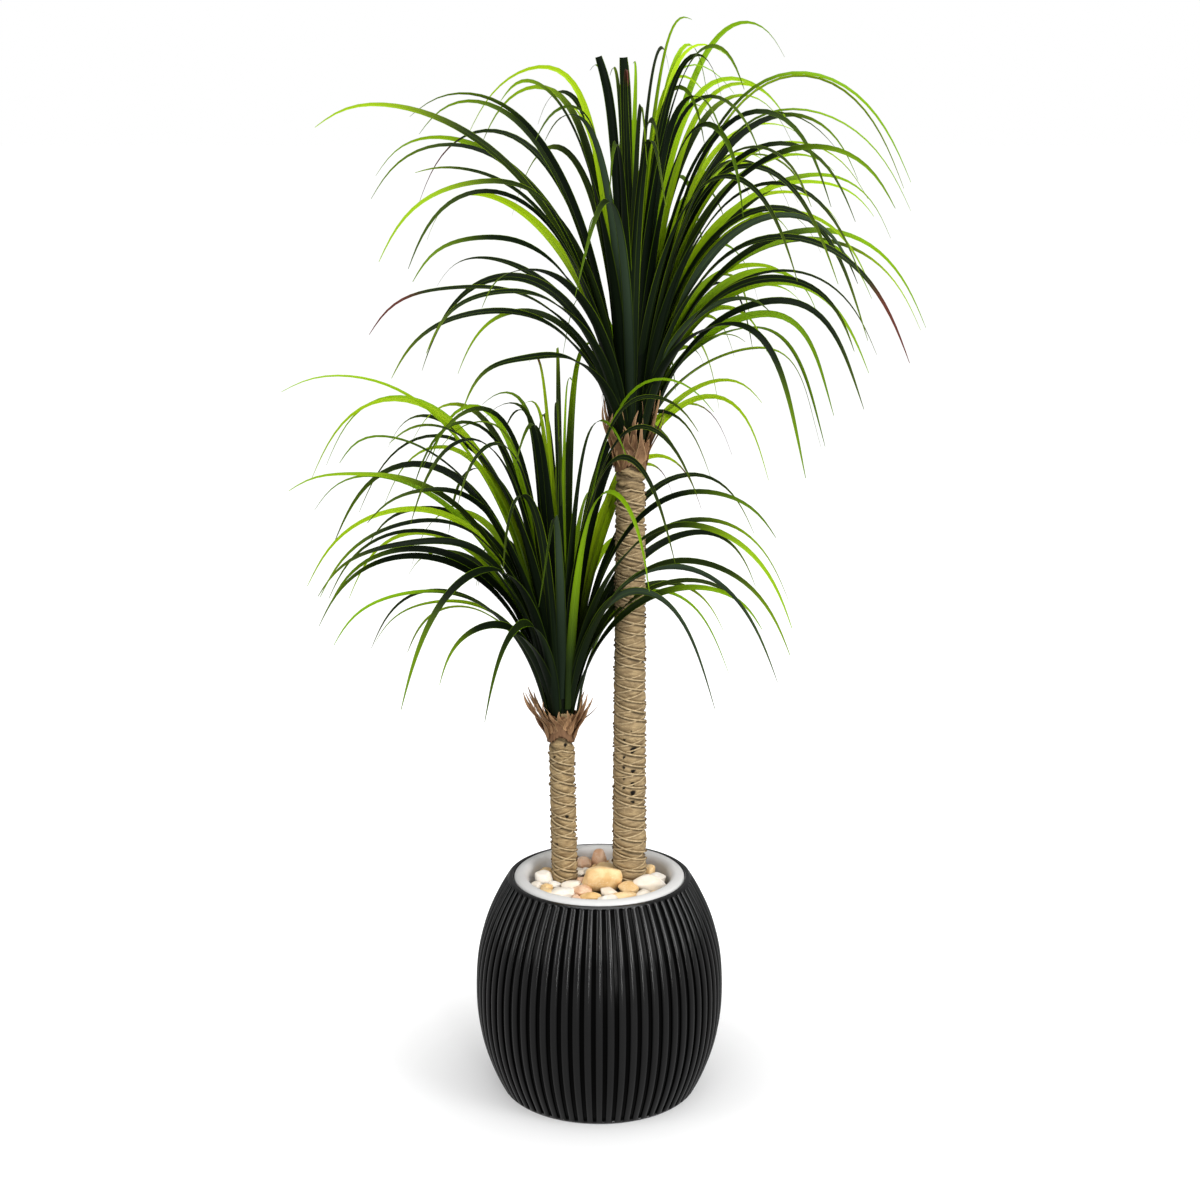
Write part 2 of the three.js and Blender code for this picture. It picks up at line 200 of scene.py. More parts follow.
# Further leaves that stand out in the crowns. At least 31 of these 75 rows were worked out outside
# this file, from points picked in the photograph and a chosen azimuth.
TALL_MORE = [
    (70, (0.115, 1.195), (0.150, 1.188), "inner", "lime"),
    (52, (0.092, 1.176), (0.122, 1.089), "inner", "lime"),
    (305, (0.126, 1.155), (0.173, 1.100), "inner", "dark"),
    (102, (0.175, 1.147), (0.200, 1.135), "inner", "dark"),
    (95, (0.081, 1.146), (0.110, 1.128), "inner", "dark"),
    (5, (0.172, 1.134), (0.292, 1.010), "inner", "lime"),
    (350, (0.157, 1.098), (0.292, 0.989), "inner", "tipped"),
    (18, (0.182, 1.092), (0.268, 1.016), "inner", "dark"),
    (22, (0.226, 1.026), (0.321, 0.951), "middle", "tipped"),
    (324, (0.137, 1.043), (0.243, 0.921), "middle", "dark"),
    (349, (0.155, 0.998), (0.253, 0.856), "middle", "dark"),
    (16, (0.193, 0.958), (0.334, 0.853), "outer", "tipped"),
    (334, (0.171, 0.969), (0.315, 0.844), "outer", "dark"),
    (312, (0.229, 0.932), (0.331, 0.868), "outer", "dark"),
    (160, (0.182, 1.106), (0.238, 1.066), "inner", "tipped"),
    (200, (0.175, 1.112), (0.235, 1.085), "inner", "dark"),
    (150, (0.246, 1.065), (0.327, 1.019), "inner", "tipped"),
    (215, (0.225, 1.037), (0.270, 1.032), "middle", "dark"),
    (225, (0.202, 0.970), (0.308, 0.931), "middle", "dark"),
    (140, (0.213, 0.931), (0.282, 0.894), "middle", "dark"),
    (244, (0.254, 0.944), (0.340, 0.914), "middle", "dark"),
    (215, (0.190, 0.918), (0.318, 0.876), "outer", "dark"),
    (205, (0.151, 0.890), (0.271, 0.824), "outer", "dark"),
    (241, (0.187, 0.854), (0.335, 0.815), "outer", "dark"),
    (215, (0.0415, 1.140), (0.0425, 1.145), "inner", "blunt"),
    (257, (0.0400, 1.138), (0.0410, 1.144), "inner", "blunt"),
    (40, (0.085, 1.165), (0.135, 1.150), "inner", "lime"),
    (25, (0.120, 1.125), (0.185, 1.085), "inner", "lime"),
    (100, (0.030, 1.150), (0.060, 1.140), "inner", "lime"),
    (32, (0.159, 1.048), (0.244, 0.992), "inner", "lime"),
    (40, (0.181, 1.079), (0.267, 1.045), "inner", "lime"),
    (25, (0.198, 1.047), (0.247, 1.026), "inner", "tipped"),
    (62, (0.150, 1.012), (0.205, 0.970), "middle", "lime"),
    (55, (0.173, 1.028), (0.241, 0.985), "middle", "lime"),
    (45, (0.170, 1.036), (0.275, 0.987), "middle", "lime"),
    (30, (0.185, 1.006), (0.266, 0.967), "middle", "lime"),
    (38, (0.193, 0.981), (0.242, 0.954), "middle", "lime"),
    (35, (0.158, 0.925), (0.234, 0.893), "middle", "lime"),
    (50, (0.179, 0.913), (0.222, 0.865), "middle", "lime"),
    (20, (0.149, 0.907), (0.198, 0.888), "outer", "lime"),
    (25, (0.113, 0.884), (0.168, 0.830), "outer", "lime"),
    (45, (0.115, 0.872), (0.168, 0.819), "outer", "lime"),
    (60, (0.113, 0.851), (0.218, 0.750), "outer", "lime"),
    (55, (0.104, 0.835), (0.147, 0.809), "outer", "lime"),
    (15, (0.105, 0.856), (0.128, 0.846), "outer", "tipped"),
    (345, (0.126, 0.901), (0.153, 0.885), "outer", "grey"),
    (20, (0.162, 0.875), (0.183, 0.864), "outer", "tipped"),
    (12, (0.154, 0.842), (0.218, 0.725), "outer", "lime"),
    (125, (0.044, 1.050), (0.050, 1.045), "inner", "lime"),
    (110, (0.035, 1.030), (0.042, 1.022), "inner", "lime"),
    (130, (0.104, 1.104), (0.110, 1.102), "inner", "lime"),
]
SHORT_MORE = [
    (180, (0.179, 0.795), (0.267, 0.705), "inner", "lime"),
    (219, (0.265, 0.777), (0.284, 0.749), "inner", "dark"),
    (206, (0.219, 0.724), (0.308, 0.713), "middle", "tipped"),
    (168, (0.218, 0.699), (0.284, 0.654), "middle", "lime"),
    (190, (0.160, 0.677), (0.276, 0.595), "middle", "lime"),
    (150, (0.146, 0.606), (0.205, 0.571), "outer", "tipped"),
    (212, (0.147, 0.650), (0.288, 0.604), "middle", "dark"),
    (218, (0.195, 0.603), (0.290, 0.560), "outer", "tipped"),
    (240, (0.170, 0.572), (0.250, 0.530), "outer", "dark"),
    (252, (0.120, 0.568), (0.215, 0.485), "outer", "grey"),
    (100, (0.060, 0.832), (0.110, 0.815), "inner", "lime"),
    (232, (0.036, 0.800), (0.062, 0.785), "inner", "lime"),
    (282, (0.030, 0.826), (0.058, 0.812), "inner", "lime"),
    (75, (0.080, 0.838), (0.150, 0.825), "inner", "tipped"),
    (30, (0.219, 0.799), (0.271, 0.764), "inner", "lime"),
    (27, (0.193, 0.786), (0.272, 0.676), "inner", "lime"),
    (33, (0.172, 0.777), (0.231, 0.707), "inner", "lime"),
    (338, (0.112, 0.822), (0.180, 0.785), "inner", "lime"),
    (300, (0.120, 0.712), (0.215, 0.620), "middle", "lime"),
    (322, (0.185, 0.676), (0.315, 0.585), "middle", "tipped"),
    (20, (0.160, 0.648), (0.278, 0.543), "outer", "tipped"),
    (343, (0.130, 0.616), (0.248, 0.494), "outer", "grey"),
    (318, (0.122, 0.597), (0.215, 0.480), "outer", "grey"),
    (345, (0.155, 0.590), (0.225, 0.545), "outer", "tipped"),
]

# How far the filling leaves reach from upright (first) to hanging (last):
# distance and height of the apex, then of the tip. thin: the direction in which there are
# fewer of them, and the share left out. lime_left: the odds of a lime leaf behind on the left.
TALL_FILL = {
    "count": 68,
    "thin": (180, 0.75),
    "lime_left": 1.5,
    "apex": ((0.05, 1.13), (0.15, 1.10), (0.19, 1.01), (0.18, 0.93), (0.13, 0.86)),
    "tip": ((0.10, 1.09), (0.23, 1.03), (0.28, 0.93), (0.27, 0.83), (0.20, 0.77)),
}
SHORT_FILL = {
    "count": 58,
    "thin": (0, 0.65),
    "lime_left": 4.5,
    "apex": ((0.04, 0.80), (0.13, 0.77), (0.17, 0.69), (0.16, 0.62), (0.11, 0.56)),
    "tip": ((0.09, 0.77), (0.20, 0.71), (0.25, 0.62), (0.24, 0.53), (0.18, 0.49)),
}

LEAF_STEPS = 40
LEAF_THICKNESS = 0.0004
# How steeply a leaf leaves its root, as a share of its rise.
LEAF_RISE = 0.57
HUSK_STEPS = 24
HUSK_THICKNESS = 0.0005

# The stones of the frame: place, size, turn in degrees and kind.
PEBBLES = [
    ((0.004, -0.006), (0.044, 0.024, 0.028), 4, "yellow"),
    ((-0.040, -0.031), (0.031, 0.021, 0.012), 5, "white"),
    ((-0.020, 0.006), (0.013, 0.012, 0.012), 0, "peach"),
    ((0.027, -0.042), (0.036, 0.015, 0.011), 6, "yellow"),
    ((-0.063, 0.011), (0.020, 0.018, 0.017), 20, "white"),
    ((-0.018, 0.058), (0.018, 0.018, 0.016), 10, "peach"),
    ((0.000, 0.066), (0.018, 0.016, 0.022), 0, "peach"),
    ((0.019, 0.058), (0.020, 0.015, 0.015), 150, "white"),
    ((0.057, 0.036), (0.015, 0.020, 0.014), 30, "yellow"),
    ((-0.008, 0.032), (0.020, 0.016, 0.012), 10, "white"),
    ((0.056, -0.011), (0.036, 0.024, 0.019), 172, "white"),
    ((-0.009, -0.043), (0.026, 0.017, 0.012), 175, "yellow"),
    ((-0.059, -0.014), (0.015, 0.013, 0.011), 40, "yellow"),
]

CAMERA_PLACE = (0.0008, -2.236, 1.094)
CAMERA_PITCH_DOWN = 13.2
CAMERA_LENS = 63.0
CAMERA_SENSOR = 36

FLOOR_SIZE = 120
FLOOR_DROP = 0.0002
# Where the floor's own glow starts and stops rising, from the planter's axis, and the glow there.
# The dimmer glow near the planter is a painted shadow.
FLOOR_FADE = (0.12, 0.44)
FLOOR_GLOW = (0.38, 0.94)

# ---- Materials ---------------------------------------------------------------


class Shader:
    """A material's node tree, with a short call for each kind of node used here."""

    def __init__(self, name, **sockets):
        self.material = bpy.data.materials.new(name)
        self.material.use_nodes = True
        self.tree = self.material.node_tree
        self.surface = self.tree.nodes["Principled BSDF"]
        for socket, value in sockets.items():
            self.set(socket.replace("_", " "), value)

    def put(self, socket, value):
        if isinstance(value, bpy.types.NodeSocket):
            self.tree.links.new(value, socket)
        elif isinstance(value, tuple) and len(value) == 3 and socket.type == "RGBA":
            socket.default_value = (*value, 1)
        else:
            socket.default_value = value

    def set(self, socket, value):
        self.put(self.surface.inputs[socket], value)

    def node(self, kind, **inputs):
        made = self.tree.nodes.new("ShaderNode" + kind)
        for name, value in inputs.items():
            self.put(made.inputs[name.replace("_", " ")], value)
        return made

    def place(self, stretch=(1, 1, 1)):
        where = self.node("TexCoord").outputs["Object"]
        return self.node("Mapping", Vector=where, Scale=stretch).outputs[0]

    def noise(self, scale, detail=3.0, stretch=(1, 1, 1), distortion=0.0):
        made = self.node(
            "TexNoise", Vector=self.place(stretch), Scale=scale, Detail=detail, Distortion=distortion
        )
        return made.outputs["Fac"]

    def clouds(self, scale, detail, first, second):
        """Cloudy noise between two colours."""
        made = self.node("ValToRGB", Fac=self.noise(scale, detail))
        for point, place, colour in zip(made.color_ramp.elements, (0.3, 0.7), (first, second)):
            point.position = place
            point.color = (*colour, 1)
        return made.outputs["Color"]

    def mix(self, amount, first, second, blend="MIX"):
        made = self.tree.nodes.new("ShaderNodeMix")
        made.data_type = "RGBA"
        made.blend_type = blend
        self.put(made.inputs[0], amount)
        self.put(made.inputs[6], first)
        self.put(made.inputs[7], second)
        return made.outputs[2]

    def sum(self, operation, first, second=0.5):
        """One step of arithmetic."""
        made = self.tree.nodes.new("ShaderNodeMath")
        made.operation = operation
        self.put(made.inputs[0], first)
        self.put(made.inputs[1], second)
        return made.outputs[0]

    def times(self, first, second):
        return self.sum("MULTIPLY", first, second)

    def plus(self, first, second):
        return self.sum("ADD", first, second)

    def spread(self, value, low, high, to_low=0.0, to_high=1.0):
        made = self.tree.nodes.new("ShaderNodeMapRange")
        made.interpolation_type = "SMOOTHSTEP"
        for socket, number in zip(made.inputs[:5], (value, low, high, to_low, to_high)):
            self.put(socket, number)
        return made.outputs[0]

    def rough(self, scale, detail, low, high):
        """Uneven roughness between low and high."""
        self.set("Roughness", self.spread(self.noise(scale, detail), 0.3, 0.7, low, high))

    def attribute(self, name):
        """The red, green and blue parts of a vertex attribute."""
        made = self.tree.nodes.new("ShaderNodeAttribute")
        made.attribute_name = name
        return self.node("SeparateColor", Color=made.outputs["Color"]).outputs

    def bump(self, height, distance, strength=1.0):
        made = self.node("Bump", Height=height, Distance=distance, Strength=strength)
        self.set("Normal", made.outputs[0])


def pot_shader():
    s = Shader("pot_black")
    # Painted shade: the grooves between the bars are painted near black and nearly without shine.
    groove = s.attribute("groove")[0]
    s.set("Specular IOR Level", s.spread(groove, 0.10, 0.70, 0.37, 0.05))
    body = s.clouds(9, 4, (0.0046, 0.0046, 0.0047), (0.0076, 0.0076, 0.0078))
    s.set("Base Color", s.mix(s.spread(groove, 0.2, 0.9), body, (0.0008, 0.0008, 0.0008)))
    s.rough(40, 4, 0.19, 0.24)
    s.bump(s.noise(900, 2), 0.0001, 0.15)
    return s.material


def liner_shader():
    s = Shader("liner_white")
    s.set("Specular IOR Level", 0.40)
    s.set("Base Color", s.clouds(14, 3, (0.590, 0.585, 0.570), (0.620, 0.615, 0.605)))
    s.rough(60, 2, 0.38, 0.46)
    s.bump(s.noise(300, 2), 0.0001, 0.2)
    return s.material


def fill_shader():
    s = Shader("fill_cement", Roughness=0.95)
    s.set("Base Color", s.clouds(160, 5, (0.10, 0.08, 0.055), (0.26, 0.22, 0.16)))
    s.bump(s.noise(350, 4), 0.001)
    return s.material


def pebble_shader(kind, low, high, vein):
    s = Shader("pebble_" + kind)
    s.set("Specular IOR Level", 0.35)
    tone = s.attribute("stone")[0]
    body = s.mix(s.spread(s.noise(70, 4, distortion=0.6), 0.3, 0.7), low, high)
    body = s.mix(s.times(tone, 0.35), body, vein)
    bands = s.spread(s.noise(150, 4, (1, 1, 2.2), 1.5), 0.56, 0.70)
    body = s.mix(s.times(bands, 0.5), body, vein)
    s.set("Base Color", body)
    s.rough(220, 2, 0.38, 0.55)
    s.bump(s.noise(500, 3), 0.0002, 0.4)
    return s.material


def trunk_shader(name, shade, light):
    """A stretched tan wrap with painted shade: darker in the creases under the twine, a shadow line below
    each strand, black in the small gaps.
    """
    s = Shader(name)
    s.set("Specular IOR Level", 0.25)
    crease, pit, shadow = s.attribute("wrap")[:3]
    cloth = s.mix(s.spread(s.noise(85, 5, (1, 1, 2.5)), 0.28, 0.72), shade, light)
    cloth = s.mix(s.spread(s.noise(420, 3, (1, 1, 3)), 0.52, 0.75, 0.0, 0.35), cloth, shade)
    # Painted shade: darker creases round the twine, and a painted shadow under each strand and in the folds'
    # troughs.
    dark = tuple(0.42 * part for part in shade)
    cloth = s.mix(s.times(crease, 0.45), cloth, dark)
    cloth = s.mix(s.times(shadow, 0.85), cloth, tuple(0.16 * part for part in shade))
    # Painted shade: the small gaps in the wrap are painted black.
    s.set("Base Color", s.mix(pit, cloth, (0.006, 0.004, 0.002)))
    s.rough(200, 2, 0.62, 0.85)
    folds = s.noise(130, 5, (1, 1, 3.5), 0.8)
    fibre = s.noise(900, 2, (1, 1, 4))
    s.bump(s.plus(folds, s.times(fibre, 0.25)), 0.0022, 0.75)
    return s.material


def twine_shader():
    s = Shader("twine", Roughness=0.8)
    s.set("Specular IOR Level", 0.25)
    strand = s.clouds(260, 4, (0.34, 0.245, 0.130), (0.57, 0.440, 0.255))
    s.set("Base Color", s.mix(s.attribute("knot")[0], strand, (0.085, 0.050, 0.024)))
    s.bump(s.noise(1500, 2), 0.0002, 0.6)
    return s.material


def husk_shader():
    s = Shader("husk")
    s.set("Specular IOR Level", 0.3)
    along, across, tone = s.attribute("leaf")[:3]
    body = s.mix(tone, (0.158, 0.078, 0.038), (0.410, 0.236, 0.115))
    streak = s.spread(s.noise(420, 3, (1, 1, 0.12)), 0.45, 0.70)
    body = s.mix(s.times(streak, 0.6), body, (0.100, 0.044, 0.019))
    side = s.sum("ABSOLUTE", s.sum("SUBTRACT", across, 0.5))
    body = s.mix(s.spread(side, 0.36, 0.47, 0.0, 0.6), body, (0.60, 0.38, 0.19))
    body = s.mix(s.spread(along, 0.60, 1.0, 0.0, 0.5), body, (0.50, 0.30, 0.15))
    s.set("Base Color", body)
    s.set("Roughness", s.spread(tone, 0.0, 1.0, 0.5, 0.7))
    s.bump(s.noise(500, 3, (1, 1, 0.15)), 0.0004, 0.6)
    return s.material


def leaf_shader():
    """One shader for every leaf. The attribute leaf holds along, across and how pale the underside is;
    the attribute tint holds the lime at the root, the lime at the tip and a chance number."""
    s = Shader("leaf")
    along, across, under = s.attribute("leaf")[:3]
    root_lime, tip_lime, chance = s.attribute("tint")[:3]
    side = s.sum("ABSOLUTE", s.sum("SUBTRACT", across, 0.5))
    dark = s.mix(chance, (0.0028, 0.0058, 0.0018), (0.0075, 0.0140, 0.0050))
    lime = s.mix(chance, (0.160, 0.310, 0.003), (0.330, 0.500, 0.006))
    lime = s.mix(s.spread(side, 0.0, 0.12, 0.35, 0.0), lime, (0.095, 0.215, 0.003))
    start = s.plus(s.times(chance, 0.20), s.spread(tip_lime, 0.5, 0.8, 0.66, 0.50))
    turn = s.spread(along, start, s.plus(start, 0.24))
    amount = s.plus(root_lime, s.times(turn, s.sum("SUBTRACT", tip_lime, root_lime)))
    amount = s.times(amount, s.spread(along, 0.10, 0.42, 0.05, 1.0))
    under = s.times(under, s.spread(along, 0.10, 0.50, 0.25, 1.0))
    edge = s.times(s.spread(side, 0.43, 0.465), 0.42)
    rib = s.times(s.spread(side, 0.02, 0.045, 0.16, 0.0), s.sum("GREATER_THAN", chance, 0.6))
    lines = s.times(s.sum("MAXIMUM", edge, rib), s.spread(along, 0.18, 0.50, 0.12, 1.0))
    amount = s.sum("MAXIMUM", amount, lines)
    body = s.mix(amount, dark, lime)
    veins = s.spread(s.sum("SINE", s.times(across, 32.0)), -1.0, 1.0, 0.88, 1.06)
    body = s.mix(1.0, body, s.node("CombineColor", Red=veins, Green=veins, Blue=veins).outputs[0], "MULTIPLY")
    pale = s.mix(amount, (0.070, 0.112, 0.072), (0.235, 0.400, 0.030))
    body = s.mix(under, body, pale)
    withered = s.times(s.spread(along, 0.80, 0.88), s.sum("GREATER_THAN", chance, 0.970))
    s.set("Base Color", s.mix(withered, body, (0.080, 0.022, 0.014)))
    s.set("Roughness", s.plus(0.40, s.times(under, 0.18)))
    s.set("Specular IOR Level", 0.05)
    return s.material


LEAF = leaf_shader()
HUSK = husk_shader()
TWINE = twine_shader()
PEBBLE_SHADERS = {
    "yellow": pebble_shader("yellow", (0.66, 0.38, 0.12), (0.82, 0.58, 0.28), (0.86, 0.73, 0.50)),
    "white": pebble_shader("white", (0.76, 0.70, 0.61), (0.88, 0.85, 0.80), (0.84, 0.68, 0.46)),
    "peach": pebble_shader("peach", (0.62, 0.34, 0.19), (0.80, 0.56, 0.38), (0.86, 0.72, 0.56)),
}

# ---- Meshes ------------------------------------------------------------------


class Solid:
    """Gathers closed lofts, then makes one piece of them."""

    def __init__(self):
        self.points = []
        self.faces = []
        self.values = {}
        self.count = 0

    def loft(self, rings, **values):
        """A tube through rings of points, each anticlockwise about the way forward, with closed ends."""
        rings = np.asarray(rings, float)
        steps, sides = rings.shape[:2]
        row = np.arange(steps - 1)[:, None] * sides + self.count
        here = np.arange(sides)[None, :]
        after = (here + 1) % sides
        quads = np.stack([row + here, row + after, row + sides + after, row + sides + here], -1)
        self.faces += quads.reshape(-1, 4).tolist()
        self.faces.append((self.count + np.arange(sides)[::-1]).tolist())
        self.faces.append((self.count + (steps - 1) * sides + np.arange(sides)).tolist())
        self.add(rings.reshape(-1, 3), values)

    def mesh(self, points, faces, **values):
        self.faces += (np.asarray(faces) + self.count).tolist()
        self.add(np.asarray(points, float), values)

    def add(self, points, values):
        self.points.append(points)
        self.count += len(points)
        for name, value in values.items():
            whole = np.ones((len(points), 4))
            whole[:, :3] = np.broadcast_to(np.asarray(value, float).reshape(-1, 3), (len(points), 3))
            self.values.setdefault(name, []).append(whole)

    def piece(self, name, material, slot, stands_for=(), smooth_to=50):
        mesh = bpy.data.meshes.new(name)
        mesh.from_pydata(np.concatenate(self.points).tolist(), [], self.faces)
        for key, parts in self.values.items():
            layer = mesh.attributes.new(key, "FLOAT_COLOR", "POINT")
            layer.data.foreach_set("color", np.concatenate(parts).ravel())
        mesh.materials.append(material)
        mesh.polygons.foreach_set("use_smooth", [True] * len(mesh.polygons))
        mesh.set_sharp_from_angle(angle=math.radians(smooth_to))
        made = bpy.data.objects.new(name, mesh)
        bpy.context.scene.collection.objects.link(made)
        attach(made, "root")
        if stands_for:
            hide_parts(*stands_for)


def ease(value, low, high):
    """Smooth step from 0 at low to 1 at high."""
    t = np.clip((np.asarray(value, float) - low) / (high - low), 0, 1)
    return t * t * (3 - 2 * t)


def circle(count):
    """Directions in equal steps round a circle."""
    return np.linspace(0, 2 * math.pi, count, endpoint=False)


def outwards(angles):
    """Level unit vectors in these directions."""
    return np.stack([np.cos(angles), np.sin(angles), np.zeros_like(angles)], -1)


def turned(profile, angles):
    """Rings round the Z axis from a profile of (radius, height)."""
    return [radius * outwards(angles) + (0, 0, height) for radius, height in profile]


def bezier(a, b, c, d, count):
    t = np.linspace(0, 1, count)[:, None]
    a, b, c, d = (np.asarray(p, float) for p in (a, b, c, d))
    return (1 - t) ** 3 * a + 3 * (1 - t) ** 2 * t * b + 3 * (1 - t) * t**2 * c + t**3 * d


def unit(vectors):
    return vectors / np.linalg.norm(vectors, axis=-1, keepdims=True)


# ---- Planter -----------------------------------------------------------------


def pot_radius(z):
    below = z < POT_BELLY_HEIGHT
    span = POT_BELLY_HEIGHT if below else POT_HEIGHT - POT_BELLY_HEIGHT
    end = POT_BASE_RADIUS if below else POT_RIM_RADIUS
    curve = POT_LOWER_CURVE if below else POT_UPPER_CURVE
    away = abs(z - POT_BELLY_HEIGHT) / span
    return end + (POT_BELLY_RADIUS - end) * (1 - away**curve)


def make_outer_pot():
    # Places across one rib, from groove to groove, in shares of the pitch, and the depth there:
    # a half-round bar beside a flat groove.
    off = np.array([1.0, 0.986, 0.95, 0.85, 0.7, 0.5, 0.25])
    half = 0.36 * off
    drop = 1 - np.sqrt(1 - off**2)
    across = np.concatenate([[-0.5], -half, [0.0], half[::-1]])
    inset = np.concatenate([[1.0], drop, [0.0], drop[::-1]])
    pitch = 2 * math.pi / RIB_COUNT
    angles = ((np.arange(RIB_COUNT)[:, None] + across[None, :]) * pitch).ravel()
    groove = np.tile(inset, RIB_COUNT)

    heights = np.concatenate([
        [0.0006, 0.0018, 0.003, 0.0045, 0.0065],
        np.linspace(0.010, 0.238, 40),
        [0.2425, 0.2455, 0.2475, 0.2486, 0.2492, 0.2498, 0.2503],
    ])
    around = outwards(angles)
    rings = [around * (POT_BASE_RADIUS - 0.0016)]
    deep = [0 * groove]
    for z in heights:
        share = ease(z, RIB_BOTTOM - 0.001, 0.006) * (1 - ease(z, RIB_TOP - 0.0016, RIB_TOP))
        base = pot_radius(z) - 0.0012 * (1 - ease(z, 0, 0.003))
        rings.append(around * (base - RIB_DEPTH * share * groove)[:, None] + (0, 0, z))
        deep.append(share * groove)
    lip = [
        (POT_RIM_RADIUS, POT_HEIGHT - 0.0007),
        (POT_RIM_RADIUS - 0.0008, POT_HEIGHT),
        (POT_MOUTH_RADIUS + 0.0009, POT_HEIGHT),
        (POT_MOUTH_RADIUS, POT_HEIGHT - 0.0009),
        (POT_MOUTH_RADIUS, 0.238),
        *[(pot_radius(z) - POT_WALL, z) for z in (0.2, 0.16, 0.12, 0.07, 0.03)],
        (POT_BASE_RADIUS - POT_WALL, POT_FLOOR),
    ]
    deep += [0 * groove] * len(lip)
    solid = Solid()
    # The groove attribute carries the painted shade that the shader puts in the grooves.
    solid.loft(rings + turned(lip, angles), groove=np.repeat(np.concatenate(deep)[:, None], 3, 1))
    solid.piece("barrel_planter", pot_shader(), "pot_black", ["outer_pot"], 40)


def make_liner():
    """A tapered tub with a broad rim rolled over in two curves, each nearly a quarter ellipse."""
    angles = circle(160)

    def roll(inset, steps):
        """The rim's outline from its outer edge over the crest to the wall, so far inside the surface."""
        for phi in np.linspace(0, math.pi, steps):
            outer = phi < math.pi / 2
            side = LINER_RIM_RADIUS - LINER_CREST_RADIUS if outer else (
                LINER_CREST_RADIUS - LINER_SHOULDER_RADIUS + LINER_WALL
            )
            foot = LINER_RIM_EDGE + 0.001 if outer else LINER_SHOULDER
            rise = LINER_CREST - foot - inset
            reach = (side - inset) * math.cos(phi)
            yield LINER_CREST_RADIUS + reach, foot + rise * math.sin(phi) ** 0.9

    profile = [
        (LINER_BOTTOM_RADIUS - 0.002, LINER_BOTTOM),
        (LINER_BOTTOM_RADIUS, LINER_BOTTOM + 0.002),
        (LINER_SHOULDER_RADIUS, LINER_SHOULDER),
        *list(roll(LINER_WALL * 0.9, 14))[::-1][2:],
        (LINER_RIM_RADIUS - LINER_WALL * 0.9, LINER_RIM_EDGE),
        (LINER_RIM_RADIUS - 0.0004, LINER_RIM_EDGE),
        (LINER_RIM_RADIUS, LINER_RIM_EDGE + 0.0004),
        *roll(0, 30),
        (LINER_BOTTOM_RADIUS - LINER_WALL, LINER_BOTTOM + LINER_WALL),
    ]
    solid = Solid()
    solid.loft(turned(profile, angles))
    solid.piece("white_liner", liner_shader(), "liner_white", ["inner_pot"], 40)


def make_fill():
    angles = circle(96)
    rings = turned([(LINER_BOTTOM_RADIUS - 0.0027, FILL_BOTTOM), (FILL_EDGE, FILL_TOP - 0.0015)], angles)
    for share in (0.97, 0.9, 0.8, 0.68, 0.55, 0.42, 0.3, 0.18, 0.08):
        ring = turned([(FILL_EDGE * share, FILL_TOP)], angles)[0]
        for point in ring:
            point[2] += 0.0009 * noise.noise(Vector(point) * 90)
        rings.append(ring)
    solid = Solid()
    solid.loft(rings)
    solid.piece("cast_fill", fill_shader(), "fill_cement", ["potting_fill"])


@functools.cache
def ball_mesh(subdivisions):
    """Points and faces of a ball of radius 1."""
    bpy.ops.mesh.primitive_ico_sphere_add(subdivisions=subdivisions, radius=1)
    made = bpy.context.object
    points = np.array([v.co for v in made.data.vertices])
    faces = [list(p.vertices) for p in made.data.polygons]
    bpy.data.objects.remove(made)
    return points, faces


def stone_mesh(place, size, turn, seed, lift=0.0):
    """Points and faces of a worn stone with its lowest point on the fill."""
    ball, faces = ball_mesh(4)
    points = np.sign(ball) * np.abs(ball) ** 0.88
    offset = Vector((seed * 7.3, seed * 1.9, 0))
    bumps = np.array([noise.noise(Vector(p) * 1.3 + offset) for p in ball])
    points = points * (1 + 0.20 * bumps)[:, None]
    # A few worn flats.
    chance = random.Random(seed)
    for _ in range(7):
        flat = unit(np.array([chance.gauss(0, 1) for _ in range(3)]))
        over = np.maximum(points @ flat - chance.uniform(0.70, 0.90), 0)
        points = points - (0.70 * over)[:, None] * flat
    points /= np.abs(points).max(0)
    points = points * np.array(size) / 2
    c, s = math.cos(math.radians(turn)), math.sin(math.radians(turn))
    turned_points = points @ np.array([[c, s, 0], [-s, c, 0], [0, 0, 1]])
    height = FILL_TOP + 0.0003 + size[2] / 2 + lift
    return turned_points + (place[0], place[1], height), faces


